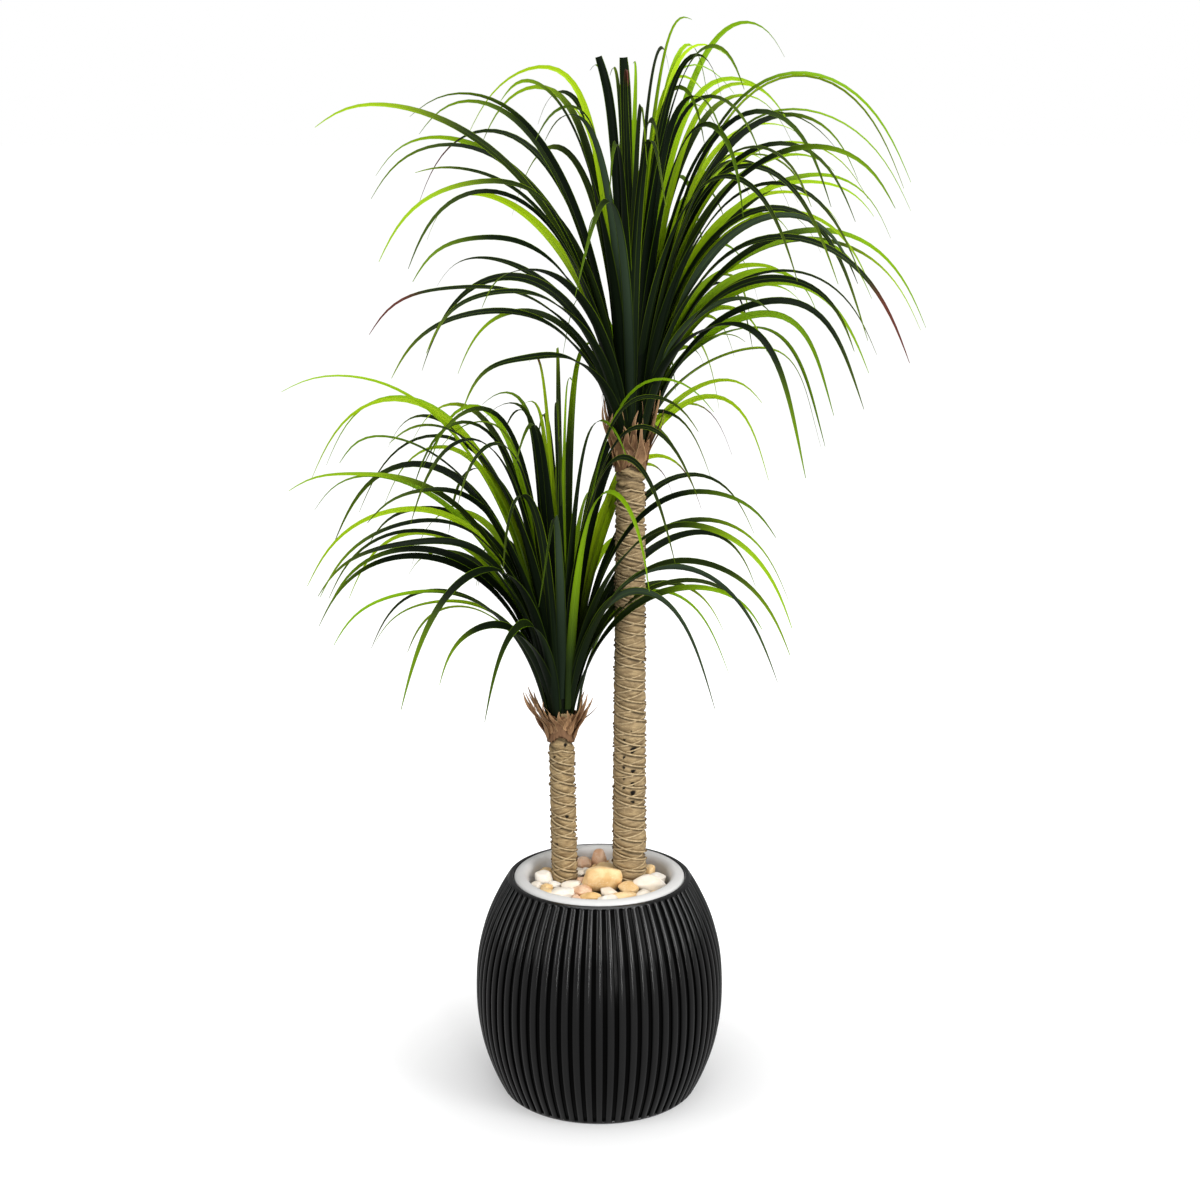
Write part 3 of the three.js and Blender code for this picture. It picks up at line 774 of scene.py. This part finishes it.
def make_pebbles():
    chance = random.Random(5)
    taken = []
    for number, (place, size, turn, kind) in enumerate(PEBBLES, 1):
        solid = Solid()
        points, faces = stone_mesh(place, tuple(1.06 * part for part in size), turn, number)
        solid.mesh(points, faces, stone=(chance.random() * 0.6, 0, 0))
        name = f"pebble_{number:02d}"
        solid.piece("stone_" + name[-2:], PEBBLE_SHADERS[kind], "pebble_" + kind, [name], 180)
        taken.append((*place, (size[0] + size[1]) / 4))

    groups = {kind: Solid() for kind in PEBBLE_SHADERS}
    trunks = [(TALL["x"], TALL["y"], TALL["foot_radius"]), (SHORT["x"], SHORT["y"], SHORT["foot_radius"])]
    stone_sizes = ((0.027, 700), (0.022, 900), (0.017, 1200), (0.012, 700))
    for length, tries in stone_sizes:
        for _ in range(tries):
            far = (FILL_EDGE - length * 0.45) * math.sqrt(chance.random())
            angle = chance.random() * 2 * math.pi
            x, y = far * math.cos(angle), far * math.sin(angle)
            half = length * 0.43
            near_stone = any(math.hypot(x - a, y - b) < 0.86 * (half + r) for a, b, r in taken)
            near_trunk = any(math.hypot(x - a, y - b) < half + r for a, b, r in trunks)
            if near_stone or near_trunk:
                continue
            taken.append((x, y, half))
            kind = chance.choices(("yellow", "white", "peach"), (6, 3, 3))[0]
            size = (length, length * chance.uniform(0.7, 0.92), 0.003 + length * chance.uniform(0.30, 0.42))
            points, faces = stone_mesh(
                (x, y), size, chance.uniform(0, 180), len(taken), chance.uniform(0, 0.002)
            )
            groups[kind].mesh(points, faces, stone=(chance.random(), 0, 0))
    for kind, solid in groups.items():
        solid.piece(f"pebbles_{kind}", PEBBLE_SHADERS[kind], "pebble_" + kind, (), 180)


# ---- Trunks ------------------------------------------------------------------


def trunk_rise(trunk, z):
    return np.clip((np.asarray(z, float) - FILL_TOP) / (trunk["top"] - FILL_TOP), 0, 1)


def trunk_radius(trunk, z):
    rise = trunk_rise(trunk, z)
    return trunk["foot_radius"] + (trunk["top_radius"] - trunk["foot_radius"]) * rise


def trunk_axis(trunk, z):
    """The middle of the trunk at each height."""
    rise = trunk_rise(trunk, z)
    x = trunk["x"] + trunk["lean"] * rise
    return np.stack([x, np.full_like(x, trunk["y"]), np.asarray(z, float)], -1)


def trunk_head(trunk, height=0.0):
    """The middle of the trunk's top, put at this height."""
    return np.array([trunk["x"] + trunk["lean"], trunk["y"], height])


def twine_span(trunk):
    bottom = FILL_TOP + 0.003
    top = trunk["twine_top"]
    turns = math.floor((top - bottom) / TWINE_PITCH) + 0.25
    return bottom, top, turns


def twine_sag(trunk, number, height):
    """How far hand-wound twine strays from its helix."""
    phase = number * 2.1 + trunk["seed"]
    slow = np.sin(height * 61 + phase) + 0.7 * np.sin(height * 139 + 2.3 * phase)
    return 0.0019 * slow


def above_twine(trunk, number, angle, height):
    """How far each place on the trunk lies above the nearest strand of one pass."""
    bottom, top, turns = twine_span(trunk)
    pitch = (top - bottom) / turns
    start = 2 * math.pi * turns * number
    straight = height - twine_sag(trunk, number, height)
    climbing = number % 2 == 0
    climbed = straight - bottom if climbing else top - straight
    off = climbed - pitch * (angle - start) / (2 * math.pi)
    off = (off + pitch / 2) % pitch - pitch / 2
    return off if climbing else -off


def wrap_relief(trunk, angle, height):
    """How far the wrap stands in or out, how deep in a crease each place is, and how much
    it lies in the painted shadow line under a strand. The climbing passes are the fainter ones."""
    crease = np.zeros_like(height)
    shadow = np.zeros_like(height)
    for number in range(TWINE_PASSES):
        above = above_twine(trunk, number, angle, height)
        weight = 0.45 if number % 2 == 0 else 1.0
        crease = np.maximum(crease, weight * np.exp(-((above / 0.0026) ** 2)))
        shadow = np.maximum(shadow, weight**2 * np.exp(-(((above + 0.00170) / 0.00090) ** 2)))
    return 0.0013 - 0.0028 * crease, crease, shadow


def wrap_gaps(trunk, angle, height):
    """How deep each place lies in a small gap of the wrap: rows of gaps in front and a few strays."""
    chance = random.Random(trunk["seed"])
    bottom, top, _ = twine_span(trunk)
    gaps = [(math.radians(a), z, wide) for a, wide, row in trunk["gaps"] for z in row]
    for _ in range(int(len(height) * 0.05)):
        gaps.append((chance.uniform(0, 2 * math.pi), chance.uniform(bottom, top), 0.0007))
    pit = np.zeros_like(height)
    for a, z, wide in gaps:
        wide *= chance.uniform(0.75, 1.2)
        tall = wide * chance.uniform(0.9, 1.5)
        apart = (angle - a + math.pi) % (2 * math.pi) - math.pi
        sideways = apart * trunk_radius(trunk, z) + (height - z) * chance.uniform(-0.5, 0.5)
        # Wide above, pointed below.
        wedge = wide * (1 + 0.75 * np.clip((height - z) / tall, -1, 1))
        pit = np.maximum(pit, 1 - ease(np.hypot(sideways / wedge, (height - z) / tall), 0.8, 1.2))
    return pit


def wrap_folds(trunk, angle, height):
    """The nearly level folds where the wrap ends under the husk, and how strong they are."""
    low, high = trunk["folds"]
    bend = 0.0022 * np.sin(2 * angle + height * 160) + 0.0012 * np.sin(5 * angle - height * 420)
    folds = np.sin(2 * math.pi * (height - bend) / FOLD_HEIGHT)
    folded = ease(height, low, low + 0.004) * (1 - ease(height, high - 0.003, high))
    return folds, folded * (0.65 + 0.35 * np.sin(3 * angle + height * 500))


def make_trunk(trunk):
    name = trunk["name"]
    columns = 128
    low, high = FILL_TOP - WRAP_BELOW, twine_span(trunk)[1] + WRAP_ABOVE
    heights = np.linspace(low, high, int((high - low) / WRAP_ROW))
    angles = circle(columns)
    angle, height = np.meshgrid(angles, heights)
    relief, crease, shadow = wrap_relief(trunk, angle, height)
    pit = wrap_gaps(trunk, angle, height)
    folds, folded = wrap_folds(trunk, angle, height)
    relief = relief + 0.0010 * folds * folded
    # Painted shade in the troughs of the folds, carried in the shadow attribute.
    shadow = np.maximum(shadow, 0.9 * folded * ease(-folds, 0.45, 0.95))

    uneven = np.empty_like(height)
    for i, z in enumerate(heights):
        for j, a in enumerate(angles):
            where = Vector((math.cos(a) * 1.1, math.sin(a) * 1.1, z * 75 + trunk["seed"]))
            uneven[i, j] = noise.noise(where) + 0.6 * noise.noise(where * 2.7)
    radius = trunk_radius(trunk, height) + relief + 0.0008 * uneven - 0.0012 * pit
    rings = outwards(angle) * radius[..., None] + trunk_axis(trunk, heights)[:, None, :]

    foot = turned([(trunk["foot_radius"] - 0.001, FILL_BOTTOM)], angles)[0]
    foot += (trunk["x"], trunk["y"], 0)
    head = turned([(trunk["top_radius"] * 0.9, trunk["top"])], angles)[0] + trunk_head(trunk)
    wrap = np.stack([crease, pit, shadow], -1)
    plain = np.zeros((1, columns, 3))
    solid = Solid()
    solid.loft(
        np.concatenate([foot[None], rings, head[None]]),
        wrap=np.concatenate([plain, wrap, plain]).reshape(-1, 3),
    )
    material = trunk_shader(f"{name}_trunk_wrap", *trunk["wrap"])
    solid.piece(f"{name}_stem", material, f"{name}_trunk_wrap", [f"{name}_trunk"], 180)


def make_twine(trunk):
    """One strand: up as a helix, down across itself, and both again half a turn round."""
    name = trunk["name"]
    bottom, top, turns = twine_span(trunk)
    steps = int(turns * TWINE_PASSES * 36)
    t = np.linspace(0, 1, steps + 1)
    number = np.minimum((t * TWINE_PASSES).astype(int), TWINE_PASSES - 1)
    done = t * TWINE_PASSES - number
    climbing = number % 2 == 0
    straight = bottom + (top - bottom) * np.where(climbing, done, 1 - done)
    ends = np.sin(np.pi * done) ** 0.3
    height = straight + ends * np.select(
        [number == n for n in range(TWINE_PASSES)],
        [twine_sag(trunk, n, straight) for n in range(TWINE_PASSES)],
    )
    angle = 2 * math.pi * turns * TWINE_PASSES * t
    relief = wrap_relief(trunk, angle, height)[0]
    turning = ease(done, 1 - 0.2 / turns, 1)
    outer = np.where(climbing, turning, 1 - turning)
    radius = trunk_radius(trunk, height) + relief + TWINE_RADIUS * (1.1 * outer)
    outward = outwards(angle)
    line = outward * radius[:, None] + trunk_axis(trunk, height)
    forward = unit(np.gradient(line, axis=0))
    sideways = unit(np.cross(forward, outward))
    up = np.cross(sideways, forward)
    turn = circle(TWINE_SIDES)[None, :, None]
    spokes = np.cos(turn) * up[:, None, :] + np.sin(turn) * sideways[:, None, :]
    solid = Solid()
    # Where it climbs it is pulled tight into the wrap, and is thinner.
    thick = TWINE_RADIUS * (0.80 + 0.20 * outer)
    solid.loft(line[:, None, :] + thick[:, None, None] * spokes, knot=(0, 0, 0))

    # Knots down both sides, where the strand is caught round the one under it.
    chance = random.Random(trunk["seed"] * 3)
    ball, faces = ball_mesh(2)
    half_turns = np.arange(1, int(turns * TWINE_PASSES * 2))
    for turned_by in half_turns * math.pi:
        at = int(round((turned_by + chance.uniform(-0.25, 0.25)) / angle[-1] * steps))
        size = TWINE_RADIUS * np.array([chance.uniform(*sizes) for sizes in KNOT_SIZES])
        place = line[at] + outward[at] * TWINE_RADIUS * 0.7
        solid.mesh(ball * size + place, faces, knot=(chance.uniform(0.55, 1.0), 0, 0))
    solid.piece(f"{name}_twine", TWINE, "twine", [f"{name}_trunk_twine"], 180)


# ---- Blades: leaves and husk strips ------------------------------------------

# Places across a blade's upper side, then back across its underside, in shares of half its width.
UPPER = np.array([-1.0, -0.9, -0.5, 0.0, 0.5, 0.9, 1.0])
LOWER = np.array([0.6, 0.0, -0.6])


def add_blade(solid, line, side, width, channel, twist, thickness, pale=0.0, tone=0.0, **values):
    """A strap along line. side is the sideways direction at the root, pale is for the underside
    alone and tone for the whole strap."""
    forward = unit(np.gradient(line, axis=0))
    side = unit(side[None, :] - (forward @ side)[:, None] * forward)
    upper = np.cross(side, forward)
    c, s = np.cos(twist)[:, None], np.sin(twist)[:, None]
    side, upper = c * side + s * upper, c * upper - s * side
    across = np.concatenate([UPPER, LOWER])
    dip = (np.abs(across) ** 1.4 - 1) * channel[:, None] * width[:, None] / 2
    below = np.concatenate([np.zeros(len(UPPER)), np.ones(len(LOWER))])
    dip = dip - below * thickness * (0.35 + 0.65 * width[:, None] / width.max())
    rings = (
        line[:, None, :]
        + side[:, None, :] * (across * width[:, None] / 2)[..., None]
        + upper[:, None, :] * dip[..., None]
    )
    along = np.linspace(0, 1, len(line))
    parts = (along[:, None], (across[None, :] + 1) / 2, tone + pale * below[None, :])
    solid.loft(rings, leaf=np.stack(np.broadcast_arrays(*parts), -1).reshape(-1, 3), **values)


def even(line, count):
    """The same line in equal steps."""
    gone = np.concatenate([[0], np.cumsum(np.linalg.norm(np.diff(line, axis=0), axis=1))])
    steps = np.linspace(0, gone[-1], count)
    return np.stack([np.interp(steps, gone, line[:, k]) for k in range(line.shape[1])], -1), gone[-1]


def stood_up(trunk, azimuth, line):
    """A line of distances and heights stood on the trunk, and its sideways direction."""
    outward = np.array([math.cos(azimuth), math.sin(azimuth), 0])
    side = np.array([math.sin(azimuth), -math.cos(azimuth), 0])
    return trunk_head(trunk) + line[:, :1] * outward + (0, 0, 1) * line[:, 1:], side


def leaf_line(apex, tip, root):
    """A leaf's middle line in its own upright plane: distances from the axis and heights."""
    root, apex, tip = (np.asarray(p, float) for p in (root, apex, tip))
    out, up = apex - root
    drop = np.linalg.norm(tip - apex)
    upward = bezier(
        root,
        (root[0] + 0.1 * out, root[1] + LEAF_RISE * up),
        (root[0] + (1.07 - LEAF_RISE) * out, apex[1]),
        apex,
        40,
    )
    downward = bezier(
        apex,
        (apex[0] + 0.45 * (tip[0] - apex[0]) + 0.1 * drop, apex[1]),
        (tip[0] - 0.12 * drop, tip[1] + 0.33 * drop),
        tip,
        30,
    )
    return np.concatenate([upward, downward[1:]])


# Lime at the root and at the tip, the width at the widest place, how pale the underside is,
# and how long the leaf keeps its width.
LEAF_KINDS = {
    "dark": (0.0, 0.55, 0.0130, 0.05, 1.85),
    "tipped": (0.03, 0.95, 0.0125, 0.12, 1.8),
    "lime": (0.92, 1.0, 0.0114, 0.35, 1.8),
    "grey": (0.02, 0.25, 0.0118, 0.60, 1.9),
    "blunt": (0.0, 0.0, 0.0105, 0.06, 20.0),
}
# The slots of the kinds whose slot isn't called after them.
LEAF_SLOTS = {"tipped": "mixed", "blunt": "dark"}


def add_leaf(solid, trunk, azimuth, apex, tip, root, kind, chance, sway=0.0, limier=1.0):
    """One leaf. sway is how far it strays sideways, as a share of its length."""
    line, length = even(leaf_line(apex, tip, root), LEAF_STEPS)
    # Smooths the bend at the apex.
    for _ in range(10):
        line[1:-1] = (line[:-2] + 2 * line[1:-1] + line[2:]) / 4
    along = np.linspace(0, 1, LEAF_STEPS)
    a = math.radians(azimuth)
    path, side = stood_up(trunk, a, line)
    path = path + side * (sway * length * along**2.2)[:, None]
    root_lime, tip_lime, widest, pale, keep = LEAF_KINDS[kind]
    widest *= chance.uniform(0.88, 1.08)
    taper = 1 - 0.3 * along**keep if kind == "blunt" else (1 - along**keep) ** 0.95
    width = widest * (0.70 + 0.30 * ease(along, 0, 0.16)) * taper + 0.0006
    channel = 0.42 - 0.22 * ease(along, 0.1, 0.8)
    # Most leaves tip their upper side towards the front as they arch over.
    turn = chance.uniform(0.45, 1.15) * (-1 if math.cos(a) > 0 else 1)
    if chance.random() < 0.15:
        turn = -0.6 * turn
    lean = 0.25 * chance.uniform(-1, 1)
    twist = lean * ease(along, 0, 0.3) + turn * ease(along, 0.15, 0.65)
    # Grey leaves show their underside, except in front. Blunt ones stand flat to the viewer.
    if kind == "grey" and math.sin(a) > -0.9:
        twist += 2.2 * ease(along, 0.25, 0.6)
    if kind == "blunt":
        twist = twist * 0 + a - math.radians(270)
    tint = (
        min(1, root_lime * chance.uniform(0.85, 1.1)),
        min(1, limier * tip_lime * chance.uniform(0.6, 1.15)),
        chance.random(),
    )
    pale *= chance.uniform(0.4, 1.0)
    add_blade(solid, path, side, width, channel, twist, LEAF_THICKNESS, pale, tint=tint)


def own_leaves(trunk, own, chance):
    """The frame's own leaves, each a piece of its own."""
    name = trunk["name"]
    for number, (azimuth, apex, tip, tier, kind) in enumerate(own, 1):
        lift, reach = TIERS[tier]
        solid = Solid()
        root = (reach, trunk["top"] + lift)
        add_leaf(solid, trunk, azimuth, apex, tip, root, kind, chance, 0.09 if kind == "grey" else 0)
        slot = "leaf_" + LEAF_SLOTS.get(kind, kind)
        solid.piece(f"{name}_blade_{number:02d}", LEAF, slot, [f"{name}_leaf_{number:02d}"])


def further_leaves(trunk, more, groups, chance):
    for azimuth, apex, tip, tier, kind in more:
        lift, reach = TIERS[tier]
        root = (reach * chance.uniform(0.6, 1.15), trunk["top"] + lift - 0.012)
        solid = groups.setdefault((kind, tier), Solid())
        sway = 0 if kind == "blunt" else chance.uniform(-0.04, 0.04)
        add_leaf(solid, trunk, azimuth, apex, tip, root, kind, chance, sway)


def filling_leaves(trunk, fill, groups, chance):
    shares = np.linspace(0, 1, len(fill["apex"]))
    count = fill["count"]
    for i in range(count):
        # Fewer leaves point at the viewer or straight back than to the sides, and those in front
        # stand more upright.
        even_way = math.radians(i * GOLDEN_ANGLE + chance.uniform(-9, 9))
        azimuth = math.degrees(even_way - 0.24 * math.sin(2 * even_way)) % 360
        hang = (i + 0.5) / count * (0.45 if math.sin(math.radians(azimuth)) < -0.6 else 1)
        thin_way, thin_share = fill["thin"]
        if math.cos(math.radians(azimuth - thin_way)) > 0.3 and chance.random() < thin_share:
            continue
        apex = [np.interp(hang, shares, column) for column in zip(*fill["apex"])]
        tip = [np.interp(hang, shares, column) for column in zip(*fill["tip"])]
        grow = chance.uniform(0.9, 1.08)
        apex = (apex[0] * grow * chance.uniform(0.9, 1.1), apex[1] + chance.uniform(-0.02, 0.02))
        tip = (max(tip[0] * grow, apex[0] + 0.03), tip[1] + chance.uniform(-0.03, 0.03))
        behind = math.sin(math.radians(azimuth)) > -0.1
        rightward = math.cos(math.radians(azimuth)) > 0
        odds = (3.2, 2, 6 if rightward else fill["lime_left"], 0.5) if behind else (9, 1.5, 0, 0.6)
        kind = chance.choices(("dark", "tipped", "lime", "grey"), odds)[0]
        tier = "inner" if hang < 0.34 else "middle" if hang < 0.67 else "outer"
        lift, reach = TIERS[tier]
        root = (reach * chance.uniform(0.45, 1.2), trunk["top"] + lift - chance.uniform(0.004, 0.020))
        solid = groups.setdefault((kind, tier), Solid())
        sway = chance.uniform(-0.07, 0.07)
        add_leaf(solid, trunk, azimuth, apex, tip, root, kind, chance, sway, 1.0 if behind else 0.5)


def make_crown(trunk, own, more, fill):
    """The frame's own leaves one by one, and the rest of the crown in groups by kind and tier."""
    chance = random.Random(trunk["seed"] * 31)
    groups = {}
    own_leaves(trunk, own, chance)
    further_leaves(trunk, more, groups, chance)
    filling_leaves(trunk, fill, groups, chance)
    for (kind, tier), solid in groups.items():
        slot = "leaf_" + LEAF_SLOTS.get(kind, kind)
        solid.piece(f"{trunk['name']}_{tier}_{kind}_leaves", LEAF, slot)


def make_core(trunk):
    rings = np.array(turned(CORE, circle(40))) + trunk_head(trunk, trunk["top"])
    solid = Solid()
    count = rings.shape[0] * rings.shape[1]
    solid.loft(rings, leaf=np.tile((0.1, 0.5, 0.0), (count, 1)), tint=(0.0, 0.0, 0.3))
    solid.piece(f"{trunk['name']}_crown_heart", LEAF, "crown_core", [f"{trunk['name']}_crown_core"])


def make_husk(trunk, strips, tallest, reach, widths):
    """Dry pointed strips round the trunk's top, over a torn cuff. reach is how far they flare."""
    chance = random.Random(trunk["seed"] * 7)
    bottom = trunk["top"] - COLLAR_BELOW
    radius = float(trunk_radius(trunk, bottom)) + 0.0013
    solid = Solid()

    # The cuff's lower edge is torn, and stands higher in front; its upper edge is notched.
    columns = 90
    angles = circle(columns)
    torn = np.array([0.0030 * noise.noise(Vector((k * 0.6, trunk["seed"], 0))) for k in range(columns)])
    torn += np.where(np.arange(columns) % 2 == 0, 0.0018, 0.0)

    def raised(azimuth):
        """How much higher than at the back the foot of the husk is."""
        away = (np.asarray(azimuth) + math.pi / 2 + math.pi) % (2 * math.pi) - math.pi
        return 0.0085 * np.exp(-((away / 0.55) ** 2))

    notch = np.array([max(0.0, noise.noise(Vector((k * 0.35, trunk["seed"], 9)))) for k in range(columns)])
    cuff = []
    for out, up in CUFF:
        ring = outwards(angles) * (radius + out) + trunk_head(trunk)
        ring[:, 2] = bottom + up
        if up == 0.0:
            ring[:, 2] += torn + raised(angles) - 0.003
        if up == CUFF_HEIGHT:
            ring[:, 2] -= 0.022 * notch
        cuff.append(ring)
    tone = np.tile((0.15, 0.5, 0.25), (columns * len(cuff), 1))
    solid.loft(cuff, leaf=tone)

    for i in range(strips):
        azimuth = math.radians(i * GOLDEN_ANGLE + chance.uniform(-12, 12))
        low = bottom + chance.uniform(-0.002, 0.012) + float(raised(azimuth))
        # Lower in front than at the sides.
        high = trunk["top"] + tallest * (chance.uniform(0.05, 0.65) + 0.35 * abs(math.cos(azimuth)))
        flare = chance.uniform(0.3, 1.0) * reach
        start = radius + 0.0012 + 0.0020 * chance.random()
        line = bezier(
            (start, low),
            (start + 0.10 * flare, low + 0.35 * (high - low)),
            (start + 0.75 * flare, low + 0.55 * (high - low)),
            (start + flare, high),
            HUSK_STEPS,
        )
        along = np.linspace(0, 1, HUSK_STEPS)
        # Each strip curls as it dries: it strays from its line more and more towards the tip.
        phase, waves = chance.uniform(0, 6.28), chance.uniform(0.5, 1.1)
        curl = np.sin(2 * math.pi * waves * along + phase) - math.sin(phase)
        line[:, 0] += 0.0022 * curl * along
        path, side = stood_up(trunk, azimuth, line)
        stray = chance.uniform(-0.011, 0.011) * along**1.6 + 0.0030 * curl * along
        path = path + side * stray[:, None]
        narrow = 1 - 0.40 * ease(along, 0.15, 0.60)
        width = chance.uniform(*widths) * (1 - along**1.6) ** 0.8 * narrow + 0.0006
        width *= 0.35 + 0.65 * ease(along, 0, 0.12)
        channel = -0.35 + chance.uniform(-0.4, 1.1) * ease(along, 0.3, 0.9)
        twist = -math.cos(azimuth) * chance.uniform(0.2, 1.5) * ease(along, 0.15, 0.7)
        twist += chance.uniform(-0.8, 0.8) * along
        add_blade(solid, path, side, width, channel, twist, HUSK_THICKNESS, tone=chance.random())
    name = trunk["name"]
    solid.piece(f"{name}_husk", HUSK, "husk", [f"{name}_husk_collar"])


# ---- The object --------------------------------------------------------------

make_outer_pot()
make_liner()
make_fill()
make_pebbles()
for stem in (TALL, SHORT):
    make_trunk(stem)
    make_twine(stem)
    make_core(stem)
make_husk(TALL, strips=28, tallest=0.060, reach=0.018, widths=(0.0095, 0.0150))
make_husk(SHORT, strips=34, tallest=0.026, reach=0.027, widths=(0.0060, 0.0105))
make_crown(TALL, TALL_LEAVES, TALL_MORE, TALL_FILL)
make_crown(SHORT, SHORT_LEAVES, SHORT_MORE, SHORT_FILL)

# ---- Floor, light and camera -------------------------------------------------


def empty_tree(owner):
    """Clears a material's or a world's nodes, and returns the calls that make and join nodes."""
    owner.use_nodes = True
    owner.node_tree.nodes.clear()
    return owner.node_tree.nodes.new, owner.node_tree.links.new


def show(make, join, seen, lit, out):
    """Shows the camera one node, and lets the other light the scene."""
    path = make("ShaderNodeLightPath")
    choice = make("ShaderNodeMixShader")
    join(path.outputs["Is Camera Ray"], choice.inputs[0])
    join(lit.outputs[0], choice.inputs[1])
    join(seen.outputs[0], choice.inputs[2])
    join(choice.outputs[0], out.inputs[0])


def make_floor():
    bpy.ops.mesh.primitive_plane_add(size=FLOOR_SIZE, location=(0, 0, -FLOOR_DROP))
    floor = bpy.context.object
    floor.name = "floor"
    material = bpy.data.materials.new("floor")
    make, join = empty_tree(material)
    # Seen by the camera it is near white, with a soft shadow round the planter, partly cast
    # and partly painted by a glow that dims towards the planter; for the light that bounces off it, it is
    # pale grey.
    plain = make("ShaderNodeBsdfDiffuse")
    plain.inputs["Color"].default_value = (0.44, 0.44, 0.44, 1)
    where = make("ShaderNodeTexCoord")
    far = make("ShaderNodeVectorMath")
    far.operation = "LENGTH"
    fade = make("ShaderNodeMapRange")
    for socket, number in zip(fade.inputs[1:5], FLOOR_FADE + FLOOR_GLOW):
        socket.default_value = number
    glow = make("ShaderNodeEmission")
    seen = make("ShaderNodeAddShader")
    bounce = make("ShaderNodeEmission")
    bounce.inputs["Strength"].default_value = 0.42
    join(where.outputs["Object"], far.inputs[0])
    join(far.outputs["Value"], fade.inputs[0])
    join(fade.outputs[0], glow.inputs["Strength"])
    join(plain.outputs[0], seen.inputs[0])
    join(glow.outputs[0], seen.inputs[1])
    show(make, join, seen, bounce, make("ShaderNodeOutputMaterial"))
    floor.data.materials.append(material)


def make_light(name, place, target, size, watts):
    data = bpy.data.lights.new(name, "AREA")
    data.shape = "RECTANGLE"
    data.size, data.size_y = size
    data.energy = watts
    light = bpy.data.objects.new(name, data)
    light.location = place
    light.rotation_euler = (Vector(target) - Vector(place)).to_track_quat("-Z", "Y").to_euler()
    bpy.context.scene.collection.objects.link(light)


def make_world():
    """White behind the object, and a softer grey for what lights it."""
    world = bpy.data.worlds.new("studio")
    bpy.context.scene.world = world
    make, join = empty_tree(world)
    seen = make("ShaderNodeBackground")
    seen.inputs[0].default_value = (1, 1, 1, 1)
    lit = make("ShaderNodeBackground")
    lit.inputs[0].default_value = (0.25, 0.25, 0.25, 1)
    show(make, join, seen, lit, make("ShaderNodeOutputWorld"))


make_floor()
make_world()
make_light("overhead", (0.3, -0.9, 3.2), (0, 0, 0.5), (3.0, 3.0), 98)
make_light("right", (2.0, -1.6, 1.5), (0.05, 0, 0.6), (1.0, 1.8), 44)
make_light("strip", (0.7, -2.9, 0.9), (0, 0, 0.5), (0.09, 2.4), 32)
make_light("left", (-2.4, -1.2, 1.4), (-0.05, 0, 0.6), (0.8, 1.8), 22)

camera_data = bpy.data.cameras.new("camera")
camera_data.lens = CAMERA_LENS
camera_data.sensor_width = CAMERA_SENSOR
camera = bpy.data.objects.new("camera", camera_data)
camera.location = CAMERA_PLACE
camera.rotation_euler = (math.radians(90 - CAMERA_PITCH_DOWN), 0, 0)
bpy.context.scene.collection.objects.link(camera)
bpy.context.scene.camera = camera
bpy.context.scene.view_settings.view_transform = "Standard"
